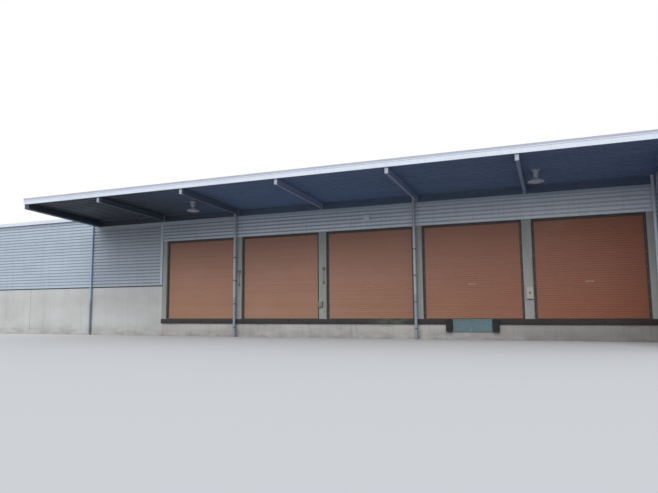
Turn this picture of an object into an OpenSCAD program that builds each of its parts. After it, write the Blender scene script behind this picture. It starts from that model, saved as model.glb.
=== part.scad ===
// Factory building with a covered loading dock: a long metal-clad hall on concrete
// base walls, five closed roller shutters between concrete columns on a raised dock,
// and a steel canopy over the dock. Millimetres, front toward -Y, ground at z = 0.

/* [Frontage] */
// Length of the open-air wall section left of the canopy
end_section_l = 10000; // [6000:100:10200]
// Length of the blank bay between the canopy end and the dock
blank_bay_l = 5020; // [3000:20:5200]
// Distance from one dock column to the next
bay_l = 4800; // [4000:100:4850]
// Number of shutter bays
door_bays = 5; // [3:1:5]
// Width of a dock column
column_w = 400; // [300:10:500]
// Depth of a dock column, front to back
column_d = 400; // [300:10:500]
// Width of the first dock column, the rest of it hidden behind the end of the blank bay
end_column_w = 280; // [200:10:400]
// Depth of the hall, front face to rear face
hall_d = 18000; // [12000:100:24000]

/* [Dock] */
// Height of the dock floor over the ground
dock_h = 915; // [700:5:1300]
// Thickness of the floor slab
floor_t = 200; // [120:10:300]
// Height of the rail along the dock edge
rail_h = 235; // [120:5:300]
// How far the rail stands out from the dock face
rail_d = 80; // [40:5:120]
// Bay whose dock edge holds the leveller lip
leveller_bay = 4; // [1:1:5]
// Width of the leveller lip
lip_w = 1720; // [1400:10:2200]
// Height of the leveller lip as it hangs
lip_h = 560; // [400:10:700]
// Distance of the lip's centre from the left side of the bay's left column
lip_offset = 2575; // [2000:5:2700]
// Width of a dock bumper
bumper_w = 300; // [200:10:400]
// How far a dock bumper stands out from the dock face
bumper_d = 180; // [120:5:260]

/* [Shutters] */
// Clear height of a shutter opening over the dock floor
door_h = 4320; // [3000:10:4600]
// How far the shutter hangs behind the column face
door_recess = 130; // [60:5:145]
// Height of one shutter lath
lath_h = 100; // [70:5:150]
// Thickness of a lath
lath_t = 22; // [16:1:30]
// Depth of the groove between two laths
lath_groove = 7; // [3:1:10]
// Visible width of a shutter guide
guide_w = 110; // [80:5:150]
// Height of a shutter's bottom bar
bottom_bar_h = 95; // [60:5:140]
// Height of the dark strip that closes the head of a shutter opening
head_strip_h = 130; // [80:5:200]
// Height of a shutter's lock over the dock floor
lock_z = 1550; // [900:10:1800]
// Width of a lock's plate
lock_w = 220; // [150:10:300]

/* [Walls] */
// Height of the concrete base walls
base_h = 2715; // [2200:5:3200]
// Thickness of the concrete base walls
base_t = 200; // [150:10:300]
// Height of the top of the wall cladding
wall_top = 6800; // [6600:10:7400]
// Thickness of the wall cladding behind the base face
cladding_t = 120; // [80:5:180]
// How far the cladding stands out in front of the base face
cladding_out = 30; // [15:1:60]
// Distance from one cladding rib to the next
rib_pitch = 183; // [120:1:250]
// Width of the flat between two grooves of the cladding
rib_flat = 105; // [70:1:115]
// Depth of the cladding grooves
rib_depth = 38; // [15:1:45]
// Height of the shadow gap between the base walls and the cladding
shadow_gap_h = 70; // [40:5:100]
// How far the closer in the shadow gap lies behind the base face
shadow_gap_d = 60; // [30:5:90]
// Width of the trim on the corners and on the end of the blank bay
corner_trim_w = 150; // [100:10:200]
// Thickness of folded sheet metal flashings
sheet_t = 4; // [2:1:8]

/* [Roof] */
// Pitch of the main roof in degrees
roof_pitch = 5; // [2:0.5:12]
// Thickness of the roof panels
roof_t = 100; // [60:5:150]
// Distance from one roof rib to the next
roof_rib_pitch = 500; // [333:1:1000]
// Height of a roof rib
roof_rib_h = 35; // [20:1:60]
// Height of the eaves gutters
gutter_h = 200; // [120:5:260]
// Width of the eaves gutters
gutter_w = 130; // [90:5:180]
// Width of one wing of the ridge cap
ridge_wing = 300; // [200:10:400]

/* [Canopy] */
// How far the canopy reaches out from the dock face
canopy_d = 5130; // [3500:10:6500]
// Distance of the canopy's open end from the start of the blank bay
canopy_inset = 250; // [100:10:600]
// Height of the lower edge of the fascia
fascia_z = 6850; // [6800:10:7200]
// Height of the fascia with its coping
fascia_h = 305; // [250:5:450]
// Height of the coping's front face
coping_h = 120; // [60:5:160]
// Fall of the canopy from its front edge back to the wall
canopy_fall = 190; // [100:5:300]
// Depth of the steel rafters
rafter_h = 240; // [180:10:330]
// Flange width of the steel rafters
rafter_w = 120; // [90:5:180]
// Flange thickness of the steel rafters
rafter_flange = 12; // [8:1:20]
// Web thickness of the steel rafters
rafter_web = 8; // [6:1:14]
// Depth of the ribs of the canopy deck
deck_rib_h = 85; // [50:5:120]
// Distance from one deck rib to the next
deck_pitch = 275; // [200:5:350]
// Height of the flat band at the head of the wall under the canopy
band_h = 150; // [80:5:250]
// Height of the underside of the canopy's wall beam
wall_beam_z = 6340; // [6300:10:6400]
// Depth of the canopy's wall beam, front to back
wall_beam_d = 80; // [60:5:120]
// Width of the boxed beam at the canopy's open end
end_beam_w = 300; // [200:10:400]
// Depth of the boxed beam at the fascia
end_beam_tip_h = 235; // [180:5:300]
// Width of the gutter behind the canopy deck
canopy_gutter_w = 225; // [220:5:300]
// Distance of the lamps from the dock face
lamp_reach = 2600; // [1500:50:3500]
// Distance of the left lamp before the second dock column
lamp_left_offset = 860; // [700:10:1500]
// Distance of the right lamp past the last column between two shutters
lamp_right_offset = 350; // [350:10:1000]
// Diameter of a lamp's shade
lamp_dia = 620; // [400:10:700]
// How far a lamp's rim hangs below the canopy deck
lamp_drop = 470; // [440:10:600]

/* [Downpipes] */
// Outer diameter of a downpipe under the canopy
pipe_dia = 140; // [80:5:150]
// Outer diameter of a downpipe at the eaves
eaves_pipe_dia = 110; // [80:5:110]
// Clear distance of a downpipe from the canopy's wall beam
pipe_gap = 10; // [5:5:20]
// Distance of a downpipe's centre from the left side of its column
pipe_inset = 90; // [80:5:120]
// Height of the first strap of a downpipe over the dock floor
strap_rise = 785; // [600:5:800]
// Distance from one strap of a downpipe to the next
strap_pitch = 1215; // [1000:5:1300]

/* [Fittings] */
// Width of the control box at the leveller bay
panel_w = 280; // [200:10:320]
// Height of the control box at the leveller bay
panel_h = 500; // [400:10:600]
// Width of the small boxes beside the shutters
switch_w = 120; // [90:5:150]
// Diameter of the cable conduits
conduit_dia = 32; // [20:2:40]
// Height of the wall light over the heads of the shutters
wall_light_rise = 530; // [350:10:900]
// Width of the wall light
wall_light_w = 260; // [200:10:320]

/* [Hidden] */

// Plan: stations along the frontage, left to right
total_l = end_section_l + blank_bay_l + end_column_w + door_bays * bay_l + base_t;
x_left = -total_l / 2;
x_right = total_l / 2;
x_corner = x_left + end_section_l;
x_dock = x_corner + blank_bay_l;
x_flank = x_right - base_t;
door_w = bay_l - column_w;

// Downpipes: round pipes with an open foot, held by bands with an arm back to the wall
pipe_r = pipe_dia / 2;
eaves_pipe_r = eaves_pipe_dia / 2;
pipe_wall = 3;
pipe_foot_z = 40;
strap_t = 6;
strap_h = 40;
strap_play = 2;
foot_strap_z = 350;
eaves_pipe_out = max(gutter_w / 2, eaves_pipe_r + strap_t + strap_play);

// Plan: stations from front to back
coping_out = 12;
front_reach = canopy_d + coping_out;
rear_reach = hall_d + cladding_out + max(gutter_w, eaves_pipe_out + eaves_pipe_r + strap_t);
y_face = (front_reach - rear_reach) / 2;
y_rear = y_face + hall_d;
y_crest = y_face - cladding_out;
y_mid = (y_face + y_rear) / 2;

// Levels
door_top = dock_h + door_h;
cladding_z = base_h + shadow_gap_h;
band_z = wall_beam_z - band_h;
ridge_z = wall_top + (hall_d / 2 + cladding_out) * tan(roof_pitch);
verge_drop = 120;
gutter_back_h = gutter_h * 0.6;
coping_z = fascia_z + fascia_h;

// Shutter: the curtain runs in guides on the column sides
y_curtain = y_face + door_recess;
guide_play = 2;
guide_wall = 5;
guide_d = lath_t + 2 * guide_play + 2 * guide_wall;
curtain_cover = 60;
lock_t = 14;
lock_h = 90;
grip_w = 90;
grip_t = 22;
curtain_top = door_top + curtain_cover;
bar_overhang = 6;
lath_count = floor((curtain_top - dock_h - bottom_bar_h) / lath_h);
head_beam_h = 450;
head_beam_gap = 40;
y_head_beam = y_curtain + lath_t + head_beam_gap;

// Canopy: the deck plane rises from the gutter's front edge to the fascia
x_canopy = x_corner + canopy_inset;
y_beam = y_crest - wall_beam_d;
y_gutter = y_crest - canopy_gutter_w;
tip_setback = 70;
y_tip = y_face - canopy_d + tip_setback;
y_fascia_back = y_face - canopy_d + sheet_t;
canopy_run = y_gutter - y_tip;
canopy_angle = atan(canopy_fall / canopy_run);
deck_tip_z = fascia_z + sheet_t;
deck_low_z = deck_tip_z - canopy_fall;
canopy_gutter_h = wall_top - deck_low_z;
x_canopy_end = x_right + cladding_out;
end_plate_t = 15;
end_plate_w = rafter_w + 20;
foot_plate_h = deck_low_z - wall_beam_z - 30;

// Downpipes under the canopy stand clear of the rail and of the wall beam
y_pipe = min(y_face - rail_d, y_beam) - pipe_gap - pipe_r;
corner_pipe_gap = 20;
rear_pipe_inset = 400;
flank_pipe_gap = 40;

// Bay of the leveller and the centre of its lip along the dock
lip_bay = min(leveller_bay, door_bays);
x_lip = column_x(lip_bay - 1) + lip_offset;

// Height of the canopy deck plane at a distance from the gutter edge
function deck_z(y) = deck_low_z + (y_gutter - y) * canopy_fall / canopy_run;
// Right side of dock column i, where the opening of shutter i + 1 starts
function opening_x(i) = x_dock + end_column_w + i * bay_l;
// Left side of dock column i
function column_x(i) = opening_x(i) - (i == 0 ? end_column_w : column_w);
// Number of whole ribs that fit below a height
function rib_count(h, pitch) = ceil(h / pitch) - 1;

// Outline of a ribbed cladding edge over a height: [distance out, height]
function rib_line(h) = let (n = rib_count(h, rib_pitch), web = (rib_pitch - rib_flat) / 4)
    concat([for (k = [0 : n - 1], p = [[cladding_out, 0], [cladding_out, rib_flat],
            [cladding_out - rib_depth, rib_flat + web],
            [cladding_out - rib_depth, rib_pitch - web]]) [p.x, k * rib_pitch + p.y]],
        [[cladding_out, n * rib_pitch], [cladding_out, h]]);

// Ribbed wall panel along +X with its ribs toward -Y, on the base face plane
module ribbed_panel(length, h) {
    rotate([90, 0, 90]) linear_extrude(length)
        polygon(concat([for (p = rib_line(h)) [-p.x, p.y]], [[cladding_t, h], [cladding_t, 0]]));
}

// Ribbed roof panel: ribs run along +Y, their pattern repeats along +X
module ribbed_roof_panel(length, run) {
    foot = roof_rib_h * 1.6;
    head = roof_rib_h * 0.8;
    n = floor((length - 2 * foot) / roof_rib_pitch);
    start = (length - n * roof_rib_pitch) / 2;
    rotate([-90, 0, 0]) linear_extrude(run)
        polygon(concat([[0, 0], [0, -roof_t]],
            [for (k = [0 : n], p = [[-foot, 0], [-head, roof_rib_h], [head, roof_rib_h], [foot, 0]])
                [start + k * roof_rib_pitch + p.x, -roof_t - p.y]],
            [[length, -roof_t], [length, 0]]));
}

// Gable outline of the hall above the base walls, as a plate across the hall
module gable_limit(x0, width) {
    translate([x0, 0, 0]) rotate([90, 0, 90]) linear_extrude(width)
        polygon([[y_crest, 0], [y_rear + cladding_out, 0], [y_rear + cladding_out, wall_top],
            [y_mid, ridge_z], [y_crest, wall_top]]);
}

module concrete() { color("#b9b8b0") children(); }
module cladding() { color("#a9b5c0") children(); }
module white_trim() { color("#e9ecee") children(); }
module dark_steel() { color("#3b4654") children(); }
module grey_steel() { color("#9aa6b0") children(); }

// Raised dock edge below the shutters
module dock_wall() {
    concrete() translate([x_dock, y_face, 0]) cube([x_flank - x_dock, column_d, dock_h]);
}

// Hall floor at dock level, wider where the base wall is thinner than the dock wall
module floor_slab() {
    concrete() translate([0, 0, dock_h - floor_t]) linear_extrude(floor_t)
        polygon([[x_left + base_t, y_face + base_t], [x_dock, y_face + base_t],
            [x_dock, y_face + column_d], [x_right - base_t, y_face + column_d],
            [x_right - base_t, y_rear - base_t], [x_left + base_t, y_rear - base_t]]);
}

// One concrete column between the shutters, with its edges taken off
module column(i) {
    chamfer = 15;
    w = opening_x(i) - column_x(i);
    if (i <= door_bays) concrete() translate([column_x(i), y_face, dock_h]) linear_extrude(door_h)
        polygon([[chamfer, 0], [w - chamfer, 0], [w, chamfer], [w, column_d], [0, column_d],
            [0, chamfer]]);
}

// Concrete beam behind the shutter heads, on the columns
module head_beam() {
    concrete() translate([x_dock, y_head_beam, door_top])
        cube([x_flank - x_dock, y_face + column_d - y_head_beam, head_beam_h]);
}

// Outline of a shutter curtain: flat laths with a groove at each joint
function curtain_outline() = concat(
    [for (k = [0 : lath_count - 1], p = [[lath_groove, 0], [0, lath_groove],
            [0, lath_h - lath_groove]]) [p.x, bottom_bar_h + k * lath_h + p.y]],
    [[lath_groove, bottom_bar_h + lath_count * lath_h],
        [lath_t, bottom_bar_h + lath_count * lath_h], [lath_t, bottom_bar_h]]);

// Lock plate of a shutter with its pull grip, its back at the curtain, its centre at the origin
module shutter_lock() {
    translate([-lock_w / 2, -lock_t, -lock_h / 2]) cube([lock_w, lock_t + lath_groove, lock_h]);
    translate([-grip_w / 2, -lock_t - grip_t, -grip_t / 2]) cube([grip_w, grip_t + 1, grip_t]);
}

// Roller shutter in bay i, closed: laths in the guides over a thicker bottom bar
module shutter(i) {
    x0 = opening_x(i - 1);
    edge = guide_wall + guide_play;
    if (i <= door_bays) color("#a3644a") union() {
        translate([x0 + edge, y_curtain, dock_h]) rotate([90, 0, 90])
            linear_extrude(door_w - 2 * edge) polygon(curtain_outline());
        translate([x0 + guide_w + guide_play, y_curtain - bar_overhang, dock_h])
            cube([door_w - 2 * guide_w - 2 * guide_play, lath_t + 2 * bar_overhang, bottom_bar_h]);
        translate([x0 + edge, y_curtain, dock_h])
            cube([door_w - 2 * edge, lath_t, bottom_bar_h]);
        translate([x0 + door_w / 2, y_curtain, dock_h + lock_z]) shutter_lock();
    }
}

// Channel that holds one edge of a curtain, opening toward +X
module guide() {
    translate([0, y_curtain - guide_play - guide_wall, dock_h]) linear_extrude(curtain_top - dock_h)
        polygon([[0, 0], [guide_w, 0], [guide_w, guide_wall], [guide_wall, guide_wall],
            [guide_wall, guide_d - guide_wall], [guide_w, guide_d - guide_wall],
            [guide_w, guide_d], [0, guide_d]]);
}

// The two guides of each shutter, joined over its head by the strip that closes the opening
module shutter_guides() {
    dark_steel() for (i = [0 : door_bays - 1]) union() {
        translate([opening_x(i), 0, 0]) guide();
        translate([column_x(i + 1), 0, 0]) mirror([1, 0, 0]) guide();
        translate([opening_x(i), y_curtain - guide_play - guide_wall, door_top - head_strip_h])
            cube([door_w, guide_wall, head_strip_h + curtain_cover]);
    }
}

// Cladding over the shutters, seated on the fronts of the columns, with the plain
// closing strip behind the flank wall
module cladding_over_doors() {
    cladding() union() {
        translate([x_dock, y_face, door_top]) ribbed_panel(x_flank - x_dock, wall_top - door_top);
        translate([x_flank, y_face, cladding_z])
            cube([base_t - cladding_t, cladding_t, wall_top - cladding_z]);
    }
}

module cladding_left_bay() {
    cladding() translate([x_corner, y_face, cladding_z])
        ribbed_panel(x_dock - x_corner, wall_top - cladding_z);
}

module cladding_left_section() {
    cladding() translate([x_left - cladding_out, y_face, cladding_z])
        ribbed_panel(x_corner - x_left + cladding_out, wall_top - cladding_z);
}

module base_left_bay() {
    concrete() translate([x_corner, y_face, 0]) cube([x_dock - x_corner, base_t, base_h]);
}

module base_left_section() {
    concrete() translate([x_left, y_face, 0]) cube([x_corner - x_left, base_t, base_h]);
}

module left_end_base() {
    concrete() translate([x_left, y_face + base_t, 0]) cube([base_t, hall_d - 2 * base_t, base_h]);
}

// The ribs of an end wall run level and stop at the slopes of the roof
module left_end_cladding() {
    cladding() intersection() {
        translate([x_left, y_rear, cladding_z]) rotate([0, 0, -90])
            ribbed_panel(hall_d, ridge_z - cladding_z);
        gable_limit(x_left - cladding_out, cladding_out + cladding_t);
        translate([x_left - cladding_out, y_face + cladding_t, 0])
            cube([cladding_out + cladding_t, hall_d - 2 * cladding_t, ridge_z]);
    }
}

module right_end_base() {
    concrete() translate([x_right - base_t, y_face, 0]) cube([base_t, hall_d - base_t, base_h]);
}

module right_end_cladding() {
    cladding() intersection() {
        translate([x_right, y_face, cladding_z]) rotate([0, 0, 90])
            ribbed_panel(hall_d, ridge_z - cladding_z);
        gable_limit(x_right - cladding_t, cladding_out + cladding_t);
        translate([x_right - cladding_t, y_face, 0])
            cube([cladding_out + cladding_t, hall_d - cladding_t, ridge_z]);
    }
}

module rear_base() {
    concrete() translate([x_left, y_rear - base_t, 0]) cube([total_l, base_t, base_h]);
}

module rear_cladding() {
    cladding() translate([x_right + cladding_out, y_rear, cladding_z]) rotate([0, 0, 180])
        ribbed_panel(total_l + 2 * cladding_out, wall_top - cladding_z);
}

// Side wall of the dock at the right: concrete below, ribbed sheet on both sides above
module flank_base() {
    concrete() translate([x_flank, y_tip, 0]) cube([base_t, y_face - y_tip, base_h]);
}

module flank_cladding() {
    h = deck_tip_z - cladding_z;
    cladding() intersection() {
        translate([x_flank, y_face, cladding_z]) rotate([90, 0, 0])
            linear_extrude(y_face - y_tip)
            polygon(concat([for (p = rib_line(h)) [base_t + p.x, p.y]],
                [for (k = [len(rib_line(h)) - 1 : -1 : 0]) [-rib_line(h)[k].x + cladding_out,
                    rib_line(h)[k].y]]));
        translate([x_flank - 1, 0, 0]) rotate([90, 0, 90]) linear_extrude(base_t + 2 * cladding_out)
            polygon([[y_tip, 0], [y_face, 0], [y_face, deck_low_z], [y_gutter, deck_low_z],
                [y_tip, deck_tip_z]]);
    }
}

// Folded corner piece of two legs, upright, its outer corner at the origin
module corner_angle(leg, h) {
    linear_extrude(h) polygon([[0, 0], [leg, 0], [leg, sheet_t], [sheet_t, sheet_t],
        [sheet_t, leg], [0, leg]]);
}

// Closer in the shadow gap along one side of a wall, its outer face at the origin
module gap_closer(length, depth) {
    translate([0, shadow_gap_d, base_h]) cube([length, depth - shadow_gap_d, shadow_gap_h]);
}

// Corner pieces, the closers between base and cladding, and the flat head band
module wall_flashings() {
    corner_h = wall_top - verge_drop - cladding_z;
    out = cladding_out + sheet_t;
    side_l = hall_d - 2 * base_t;
    white_trim() {
        translate([x_left - out, y_face - out, cladding_z]) corner_angle(corner_trim_w, corner_h);
        translate([x_left - out, y_rear + out, cladding_z]) mirror([0, 1, 0])
            corner_angle(corner_trim_w, corner_h);
        translate([x_right + out, y_rear + out, cladding_z]) rotate([0, 0, 180])
            corner_angle(corner_trim_w, corner_h);
        translate([x_dock - corner_trim_w, y_crest - sheet_t, cladding_z])
            cube([corner_trim_w, sheet_t, band_z - cladding_z]);
        translate([x_canopy, y_crest - sheet_t, band_z]) cube([x_flank - x_canopy, sheet_t, band_h]);
        translate([x_left + shadow_gap_d, y_face, 0])
            gap_closer(x_dock - x_left - shadow_gap_d, base_t);
        translate([x_right - shadow_gap_d, y_rear, 0]) rotate([0, 0, 180])
            gap_closer(total_l - 2 * shadow_gap_d, base_t);
        translate([x_left, y_rear - base_t, 0]) rotate([0, 0, -90]) gap_closer(side_l, base_t);
        translate([x_right, y_tip, 0]) rotate([0, 0, 90])
            gap_closer(y_rear - base_t - y_tip, base_t - shadow_gap_d);
    }
}

// One slope of the roof, drawn as the front one
module roof_slope() {
    length = total_l + 2 * cladding_out;
    slack = 200;
    intersection() {
        translate([-length / 2, y_crest, wall_top]) rotate([roof_pitch, 0, 0]) translate([0, -slack, 0])
            ribbed_roof_panel(length, hall_d / 2 / cos(roof_pitch) + 2 * slack);
        translate([-length / 2, y_crest, 0]) cube([length, y_mid - y_crest, ridge_z + 2 * roof_t]);
    }
}

module roof_front_slope() { color("#8f989f") roof_slope(); }

module roof_rear_slope() {
    color("#8f989f") translate([0, 2 * y_mid, 0]) mirror([0, 1, 0]) roof_slope();
}

// Folded cap over the joint of the two slopes, on the roof ribs
module ridge_cap() {
    lift = (roof_t + roof_rib_h) / cos(roof_pitch);
    drop = ridge_wing * tan(roof_pitch);
    color("#8f989f") translate([x_left - cladding_out, y_mid, ridge_z + lift]) rotate([90, 0, 90])
        linear_extrude(total_l + 2 * cladding_out)
        polygon([[-ridge_wing, -drop], [0, 0], [ridge_wing, -drop], [ridge_wing, sheet_t - drop],
            [0, sheet_t], [-ridge_wing, sheet_t - drop]]);
}

// Trim along the sloping edges of the roof, on the end walls
module verge_flashing() {
    rise = roof_t + roof_rib_h + 15;
    translate([x_left - cladding_out - sheet_t, 0, 0]) rotate([90, 0, 90]) linear_extrude(sheet_t)
        polygon([[y_crest, wall_top - verge_drop], [y_mid, ridge_z - verge_drop],
            [y_rear + cladding_out, wall_top - verge_drop], [y_rear + cladding_out, wall_top + rise],
            [y_mid, ridge_z + rise], [y_crest, wall_top + rise]]);
}

module verge_flashings() {
    white_trim() { verge_flashing(); mirror([1, 0, 0]) verge_flashing(); }
}

// Open gutter with stop ends along +X, its back at y = 0 and its underside at z = 0
module gutter(length, w, front_h, back_h) {
    rotate([90, 0, 90]) union() {
        linear_extrude(length) polygon([[0, 0], [-w, 0], [-w, front_h], [sheet_t - w, front_h],
            [sheet_t - w, sheet_t], [-sheet_t, sheet_t], [-sheet_t, back_h], [0, back_h]]);
        for (x = [0, length - sheet_t]) translate([0, 0, x]) linear_extrude(sheet_t)
            polygon([[0, 0], [-w, 0], [-w, front_h], [0, back_h]]);
    }
}

// Box gutter along an eaves, its back on the cladding
module eaves_gutter() {
    length = total_l + 2 * cladding_out;
    translate([-length / 2, y_crest, wall_top]) gutter(length, gutter_w, gutter_h, gutter_back_h);
}

module front_gutter() { white_trim() eaves_gutter(); }

module rear_gutter() { white_trim() translate([0, 2 * y_mid, 0]) mirror([0, 1, 0]) eaves_gutter(); }

// Bumper rail along the dock edge
module bumper_rail() {
    gap = lip_w + 2 * bumper_w;
    color("#2c3136") difference() {
        translate([x_dock, y_face - rail_d, dock_h - rail_h]) cube([x_flank - x_dock, rail_d, rail_h]);
        translate([x_lip - gap / 2, y_face - rail_d - 1, dock_h - rail_h - 1])
            cube([gap, rail_d + 2, rail_h + 2]);
    }
}

// Leveller lip hanging in front of the dock edge, with its hinge bar on top and its ribs behind
module dock_leveller() {
    plate_t = 25;
    hinge_r = 28;
    play = 10;
    rib_w = 40;
    ribs = 5;
    w = lip_w - 2 * play;
    step = (w - 3 * rib_w) / (ribs - 1);
    color("#6f9d9c") translate([x_lip - w / 2, y_face, 0]) union() {
        translate([0, -hinge_r - plate_t, dock_h - lip_h]) cube([w, plate_t, lip_h]);
        translate([0, -hinge_r - 2, dock_h - 2 * hinge_r]) cube([w, hinge_r + 2, 2 * hinge_r]);
        for (k = [0 : ribs - 1])
            translate([rib_w + k * step, -hinge_r - 1, dock_h - lip_h + rib_w / 2])
                cube([rib_w, hinge_r + 1, lip_h - hinge_r - rib_w]);
    }
}

// Rubber block at each side of the lip
module dock_bumpers() {
    play = 5;
    color("#1f2124") for (s = [-1, 1])
        translate([x_lip + s * (lip_w + bumper_w) / 2 - bumper_w / 2 + play, y_face - bumper_d,
            dock_h - lip_h]) cube([bumper_w - 2 * play, bumper_d, lip_h]);
}

// Downpipe of radius r at the origin, open at its foot; each strap is a height and its arm's length
module downpipe(top, r, straps) {
    foot_bore = 200;
    difference() {
        union() {
            translate([0, 0, pipe_foot_z]) cylinder(r = r, h = top - pipe_foot_z, $fn = 32);
            for (s = straps) translate([0, 0, s[0] - strap_h / 2]) {
                cylinder(r = r + strap_t, h = strap_h, $fn = 32);
                translate([-strap_h / 2, 0, 0]) cube([strap_h, s[1], strap_h]);
            }
        }
        translate([0, 0, pipe_foot_z - 1]) cylinder(r = r - pipe_wall, h = foot_bore, $fn = 32);
    }
}

// Downpipes of the canopy at two columns and the side wall, and of the eaves at three corners
module downpipes() {
    crest_z = door_top + 3 * rib_pitch + rib_flat / 2;
    reach = y_face - y_pipe;
    on_column = concat([[foot_strap_z, reach], [crest_z, y_crest - y_pipe]],
        [for (k = [0 : 2]) [dock_h + strap_rise + k * strap_pitch, reach]]);
    eaves_reach = eaves_pipe_out + cladding_out;
    on_wall = concat([for (k = [0 : 1]) [foot_strap_z + k * strap_pitch, eaves_reach]],
        [for (k = [1 : 3]) [cladding_z + k * 6 * rib_pitch + rib_flat / 2, eaves_pipe_out]]);
    color("#a9c0d0") {
        for (x = concat([for (i = [1 : 2 : door_bays - 1]) column_x(i) + pipe_inset],
                [x_flank - pipe_r - flank_pipe_gap]))
            translate([x, y_pipe, 0]) downpipe(deck_low_z, pipe_r, on_column);
        translate([x_corner - eaves_pipe_r - corner_pipe_gap, y_crest - eaves_pipe_out, 0])
            downpipe(wall_top, eaves_pipe_r, on_wall);
        for (x = [x_left + rear_pipe_inset, x_right - rear_pipe_inset])
            translate([x, y_rear + cladding_out + eaves_pipe_out, 0]) rotate([0, 0, 180])
                downpipe(wall_top, eaves_pipe_r, on_wall);
    }
}

// Steel channel on the wall that carries the canopy's inner edge
module canopy_wall_beam() {
    web = 8;
    h = deck_low_z - wall_beam_z;
    dark_steel() translate([x_canopy, y_crest, wall_beam_z]) rotate([90, 0, 90])
        linear_extrude(x_flank - x_canopy)
        polygon([[0, 0], [-wall_beam_d, 0], [-wall_beam_d, h], [0, h], [0, h - web],
            [web - wall_beam_d, h - web], [web - wall_beam_d, web], [0, web]]);
}

// Boxed beam along the canopy's open end: it deepens from the fascia back to the wall
module canopy_end_beam() {
    wall = 8;
    tip_z = deck_tip_z - end_beam_tip_h;
    dark_steel() difference() {
        translate([x_canopy, 0, 0]) rotate([90, 0, 90]) linear_extrude(end_beam_w)
            polygon([[y_tip, tip_z], [y_beam, wall_beam_z], [y_beam, deck_low_z],
                [y_gutter, deck_low_z], [y_tip, deck_tip_z]]);
        translate([x_canopy + wall, 0, 0]) rotate([90, 0, 90]) linear_extrude(end_beam_w - 2 * wall)
            polygon([[y_tip + wall, tip_z + wall], [y_beam - wall, wall_beam_z + wall],
                [y_beam - wall, deck_low_z - wall], [y_gutter, deck_low_z - wall],
                [y_tip + wall, deck_tip_z - wall]]);
    }
}

// Outline of the I-section of a rafter, its top centre at the origin
function rafter_outline() = let (w = rafter_w / 2, b = rafter_web / 2, f = rafter_flange)
    [[-w, 0], [-w, -f], [-b, -f], [-b, f - rafter_h], [-w, f - rafter_h], [-w, -rafter_h],
        [w, -rafter_h], [w, f - rafter_h], [b, f - rafter_h], [b, -f], [w, -f], [w, 0]];

// Rafter on the canopy's slope with an end plate, a foot plate and a foot gusset
module rafter() {
    slack = 300;
    foot_z = wall_beam_z + 10;
    union() {
        intersection() {
            translate([0, y_gutter, deck_low_z]) rotate([-canopy_angle, 0, 0])
                translate([0, slack + wall_beam_d, 0]) rotate([90, 0, 0])
                linear_extrude(canopy_run + 3 * slack) polygon(rafter_outline());
            translate([-rafter_w, y_tip, 0]) cube([2 * rafter_w, y_beam - y_tip, coping_z]);
        }
        translate([-end_plate_w / 2, y_tip, deck_tip_z - rafter_h - 8])
            cube([end_plate_w, end_plate_t, rafter_h]);
        translate([-end_plate_w / 2, y_beam - end_plate_t, foot_z])
            cube([end_plate_w, end_plate_t, foot_plate_h]);
        translate([-end_plate_t / 2, 0, 0]) rotate([90, 0, 90]) linear_extrude(end_plate_t)
            polygon([[y_beam, foot_z], [y_beam, deck_low_z - rafter_h + 10],
                [y_beam - 320, deck_low_z - rafter_h + 15], [y_beam - end_plate_t, foot_z]]);
    }
}

module canopy_rafters() {
    grey_steel() for (i = [0 : door_bays - 1])
        translate([opening_x(i) - column_w / 2, 0, 0]) rafter();
}

// Lower edge of the canopy deck over a run: [distance, height]
function deck_line(run) = let (n = rib_count(run, deck_pitch), foot = deck_pitch * 0.45,
        web = deck_pitch * 0.1)
    concat([for (k = [0 : n - 1], p = [[0, 0], [foot, 0], [foot + web, deck_rib_h],
            [deck_pitch - web, deck_rib_h]]) [k * deck_pitch + p.x, p.y]],
        [[n * deck_pitch, 0], [run, 0]]);

// Folded steel deck over the rafters, its ribs level along the dock
module canopy_deck() {
    run = canopy_run / cos(canopy_angle) + tip_setback - sheet_t;
    line = deck_line(run + 20);
    last = len(line) - 1;
    dark_steel() intersection() {
        translate([x_canopy, y_gutter, deck_low_z]) rotate([-canopy_angle, 0, 0])
            mirror([0, 1, 0]) rotate([90, 0, 90]) linear_extrude(x_canopy_end - x_canopy)
            polygon(concat(line, [for (k = [last : -1 : 0]) [line[k].x, line[k].y + sheet_t]]));
        translate([x_canopy, y_fascia_back, 0])
            cube([x_canopy_end - x_canopy, y_gutter - y_fascia_back, coping_z]);
    }
}

// Open gutter between the low edge of the deck and the wall
module canopy_gutter() {
    back_gap = 20;
    grey_steel() translate([x_canopy, y_crest, deck_low_z]) gutter(x_flank - x_canopy,
        canopy_gutter_w, canopy_gutter_h, canopy_gutter_h - back_gap);
}

// Folded fascia with a return below and above, closed at the open end
module canopy_fascia() {
    lip = 60;
    h = fascia_h - sheet_t;
    white_trim() translate([x_canopy, y_face - canopy_d, fascia_z]) rotate([90, 0, 90]) union() {
        linear_extrude(x_canopy_end - x_canopy)
            polygon([[0, 0], [lip, 0], [lip, sheet_t], [sheet_t, sheet_t], [sheet_t, h - sheet_t],
                [lip, h - sheet_t], [lip, h], [0, h]]);
        linear_extrude(sheet_t) square([lip, h]);
    }
}

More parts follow.
